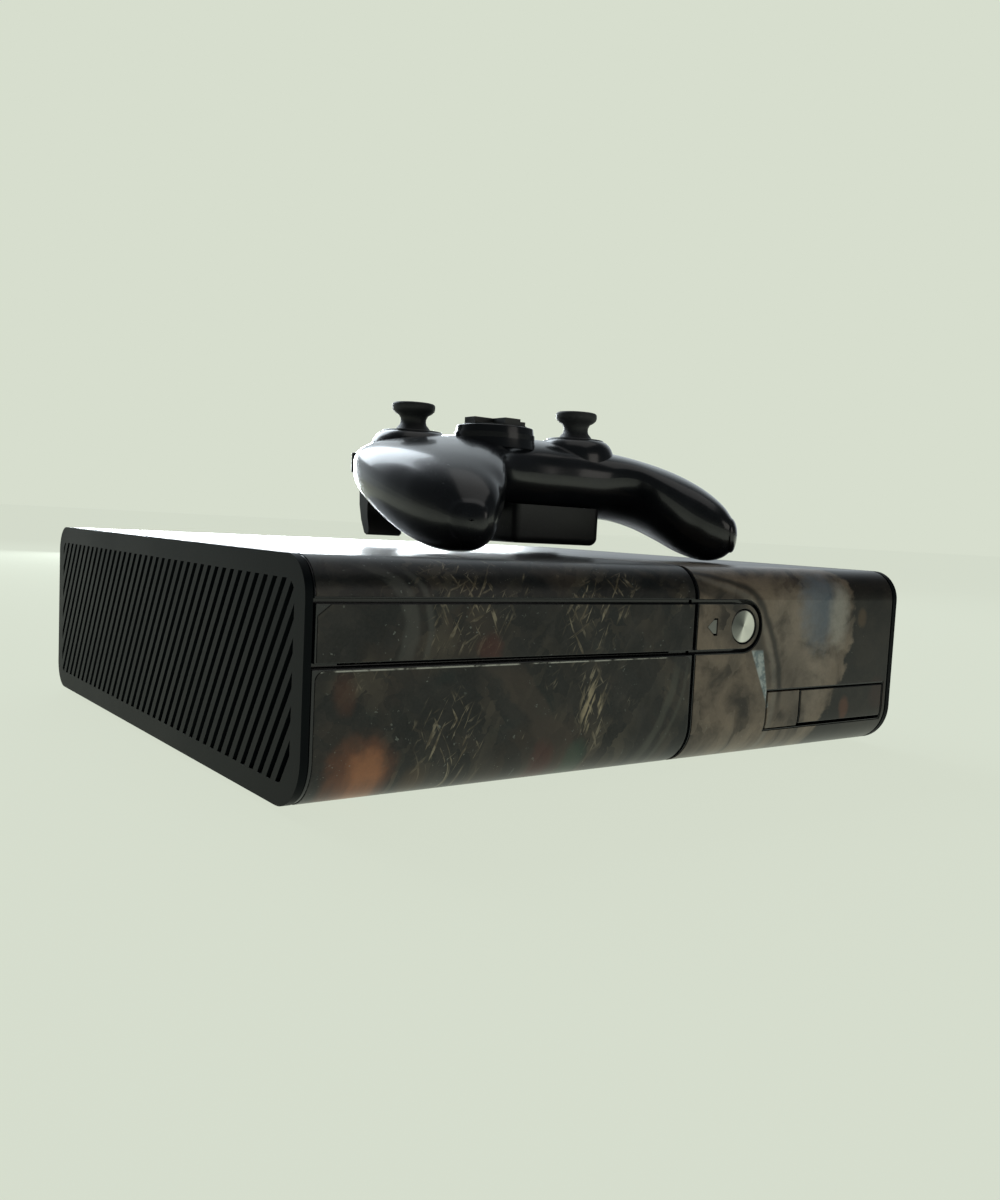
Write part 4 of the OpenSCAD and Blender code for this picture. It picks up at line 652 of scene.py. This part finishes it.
WELLS = {"left": (-43, 0, 37.5), "right": (21, -28, 39.0)}
DPAD = (-21, -28, 40.0)
SCREWS = [(side * x, y, z) for side in (-1, 1) for x, y, z in ((36.1, -20, 19.4), (60, -28, 14.8))]
FACES = {"pad_button_south": (43, -12.4, 48.8), "pad_button_east": (55.4, 0, 46.4),
         "pad_button_west": (30.6, 0, 50.0), "pad_button_north": (43, 12.4, 45.8)}

MENU_X = 17.5                                         # the two small keys stand this far from the middle
WELL_R, DPAD_HOLE_R, KEY_HOLE_R, RING_HOLE_R, MENU_HOLE_R, SCREW_HOLE_R = 13.6, 14.7, 5.2, 11.4, 3.1, 3.0

holes = [(x, y, WELL_R) for x, y, z in WELLS.values()] + [(DPAD[0], DPAD[1], DPAD_HOLE_R)]
holes += [(x, y, KEY_HOLE_R) for x, y, z in FACES.values()]
holes += [(0, 0, RING_HOLE_R), (-MENU_X, 0, MENU_HOLE_R), (MENU_X, 0, MENU_HOLE_R)]
cutters = [plug_cutter(x, y, 30, 60, r) for x, y, r in holes] + bumper_cutters()
top_shell = new_piece("pad_top_shell_finish", carve(half_shell(0.0, 1), cutters), PAD_BLACK, "pad",
                      ("pad_top_shell",))
# the battery's bay, the two trigger wells and the screws' recesses
cutters = [block_cutter((-22.4, -60, -1), (22.4, 6.4, 20.4))]
cutters += [block_cutter((side * 44 - 8.5, 10.4, -1), (side * 44 + 8.5, 40, 29.2)) for side in (-1, 1)]
cutters += bumper_cutters() + [plug_cutter(x, y, -1, z, SCREW_HOLE_R) for x, y, z in SCREWS]
bottom_shell = new_piece("pad_bottom_shell_finish", carve(half_shell(pi, -1), cutters), PAD_BLACK, "pad",
                         ("pad_bottom_shell",))
for shell in (top_shell, bottom_shell):
    rim = shell.modifiers.new("rim", "BEVEL")
    rim.width = 0.3 * MM
    rim.segments = 2
    rim.limit_method = "ANGLE"
    rim.angle_limit = radians(50)
    rim.harden_normals = False


def collar(name, place, bore, outside):
    """Raised rim round a well: up the outside to the lip, over it and down the wall of the bore."""
    foot, top = outside[0], outside[-1]
    lip = (top[0] - bore) / 2
    profile = outside + arc(bore + lip, top[1], lip, 0, 180, 8)[1:]
    profile += [(bore, top[1] - 2.2), (bore + 1.7, top[1] - 2.4), (bore + 1.7, foot[1]), foot]
    spun(name, profile, PAD + Vector(place), PAD_BLACK, "pad", steps=96)


ROUND = [(17.1, 0.2), (17.0, 3.0), (16.6, 5.0), (15.9, 6.8), (14.9, 8.3), (13.7, 9.4), (12.3, 10.05)]
for side, place in WELLS.items():
    collar("pad_collar_" + side, place, 11.3, ROUND)
collar("pad_collar_dpad", DPAD, 14.6, [(17.1, 2.0), (16.5, 4.5), (15.9, 8.0), (15.6, 10.2)])

# ---------------------------------------------------------------- sticks, direction pad and keys

STICK_TOP, DOME_R, DOME_INSIDE_R = 22.0, 13.0, 11.6
# the dished cap, its rounded edge and the neck, with heights from the cap's top
cap_and_neck = [(0, -1.9), (3.2, -1.8), (5.4, -1.3), (6.6, -0.5)] + arc(7.7, -1.1, 1.1, 100, 0, 6)
cap_and_neck += [(8.8, -2.2), (8.5, -3.2), (7.4, -4.2), (6.0, -5.0), (5.3, -6.4), (5.2, -7.6), (5.5, -8.8),
                 (6.2, -9.6)]
stick_profile = [(r, STICK_TOP + h) for r, h in cap_and_neck] + arc(0, 0, DOME_R, 54, 22, 14)
stick_profile += [(DOME_INSIDE_R, 4.2)] + arc(0, 0, DOME_INSIDE_R, 30, 78, 8)
stick_profile += [(2.2, 11.2), (2.2, -2.4), (0, -2.4)]
for side, place in WELLS.items():
    spun("pad_stick_%s_finish" % side, stick_profile, PAD + Vector(place), RUBBER, "stick_" + side,
         ("pad_stick_" + side,), steps=96)

finished_copy("pad_dpad", SATIN, 0.7, 4)
for side in ("left", "right"):
    finished_copy("pad_bumper_" + side, PAD_BLACK, 1.6, 5, 40)
    finished_copy("pad_trigger_" + side, SATIN, 1.5, 5, 40)
finished_copy("pad_battery_pack", SATIN, 0)
finished_copy("pad_light_ring", RING, 0.3, 3)


def lens(node, x, y, low, top, radius, bulge, material, body):
    """Round key with a crowned top and a flange at its foot."""
    crown = [(radius * sin(radians(a)), top - bulge + bulge * cos(radians(a))) for a in range(0, 91, 9)]
    profile = crown + [(radius, low + 1.6), (radius + 0.6, low + 1.5), (radius + 0.6, low), (0, low)]
    spun(node + "_finish", profile, PAD + Vector((x, y, 0)), material, body, (node,))


for node, (x, y, top) in FACES.items():
    compass = node.replace("pad_button_", "")
    lens(node, x, y, 39.4, top, 4.9, 1.9, KEYS[node], "key_" + compass)
for key, x in (("back", -MENU_X), ("start", MENU_X)):
    lens("pad_%s_button" % key, x, 0, 40.0, 49.6, 2.8, 0.9, SATIN, "key_" + key)
lens("pad_guide_button", 0, 0, 40.0, 50.0, 9.0, 1.8, GUIDE, "guide")

# ---------------------------------------------------------------- floor, sky and lamps

floor_bm = bmesh.new()
bmesh.ops.create_grid(floor_bm, x_segments=1, y_segments=1, size=40.0)
floor_mesh = bpy.data.meshes.new("floor")
floor_bm.to_mesh(floor_mesh)
floor_bm.free()
floor = bpy.data.objects.new("floor", floor_mesh)
bpy.context.scene.collection.objects.link(floor)
PALE = (0.680, 0.730, 0.617, 1.0)
ground = Paint("floor_paper", Roughness=1.0, Emission_Strength=0.95, Emission_Color=PALE,
               Specular_IOR_Level=0.0)
floor_mesh.materials.append(ground.set(Base_Color=(0.06, 0.064, 0.055)))

# The sky is pale to the eye, and lights the room as a soft window would: strongest from behind.
world = bpy.data.worlds.new("studio")
bpy.context.scene.world = world
world.use_nodes = True
sky = world.node_tree
lit = sky.nodes["Background"]
seen = sky.nodes.new("ShaderNodeBackground")
seen.inputs["Color"].default_value = PALE
way = sky.nodes.new("ShaderNodeTexCoord")
toward = sky.nodes.new("ShaderNodeVectorMath")
toward.operation = "DOT_PRODUCT"
sky.links.new(way.outputs["Generated"], toward.inputs[0])
toward.inputs[1].default_value = Vector((0.36, 0.9, 0.26)).normalized()
glow = Wire(sky, toward.outputs["Value"]).step(0.4, 1.0) * 0.9 + 0.06
lit.inputs["Color"].default_value = (0.86, 0.95, 1.0, 1)
plug(sky, lit.inputs["Strength"], glow)
eye = sky.nodes.new("ShaderNodeLightPath")
either = sky.nodes.new("ShaderNodeMixShader")
sky.links.new(eye.outputs["Is Camera Ray"], either.inputs[0])
sky.links.new(lit.outputs[0], either.inputs[1])
sky.links.new(seen.outputs[0], either.inputs[2])
sky.links.new(either.outputs[0], sky.nodes["World Output"].inputs["Surface"])

area_light("window", (-0.1, 1.6, 1.15), (-0.03, -0.05, 0.1), (1.1, 1.2), 21, (0.84, 0.93, 1.0))
sill = area_light("sill", (0.62, 1.5, 0.22), (-0.08, -0.1, 0.07), (0.8, 0.35), 24, (0.9, 0.97, 1.0))
sill.visible_camera = False
area_light("overhead", (0.2, -0.2, 1.6), (0.0, 0.0, 0.05), (1.4, 1.4), 3, (1.0, 0.99, 0.96))
area_light("fill", (0.6, -1.6, 0.5), (0.0, -0.1, 0.05), (0.9, 0.6), 1.6, (1.0, 0.95, 0.88))
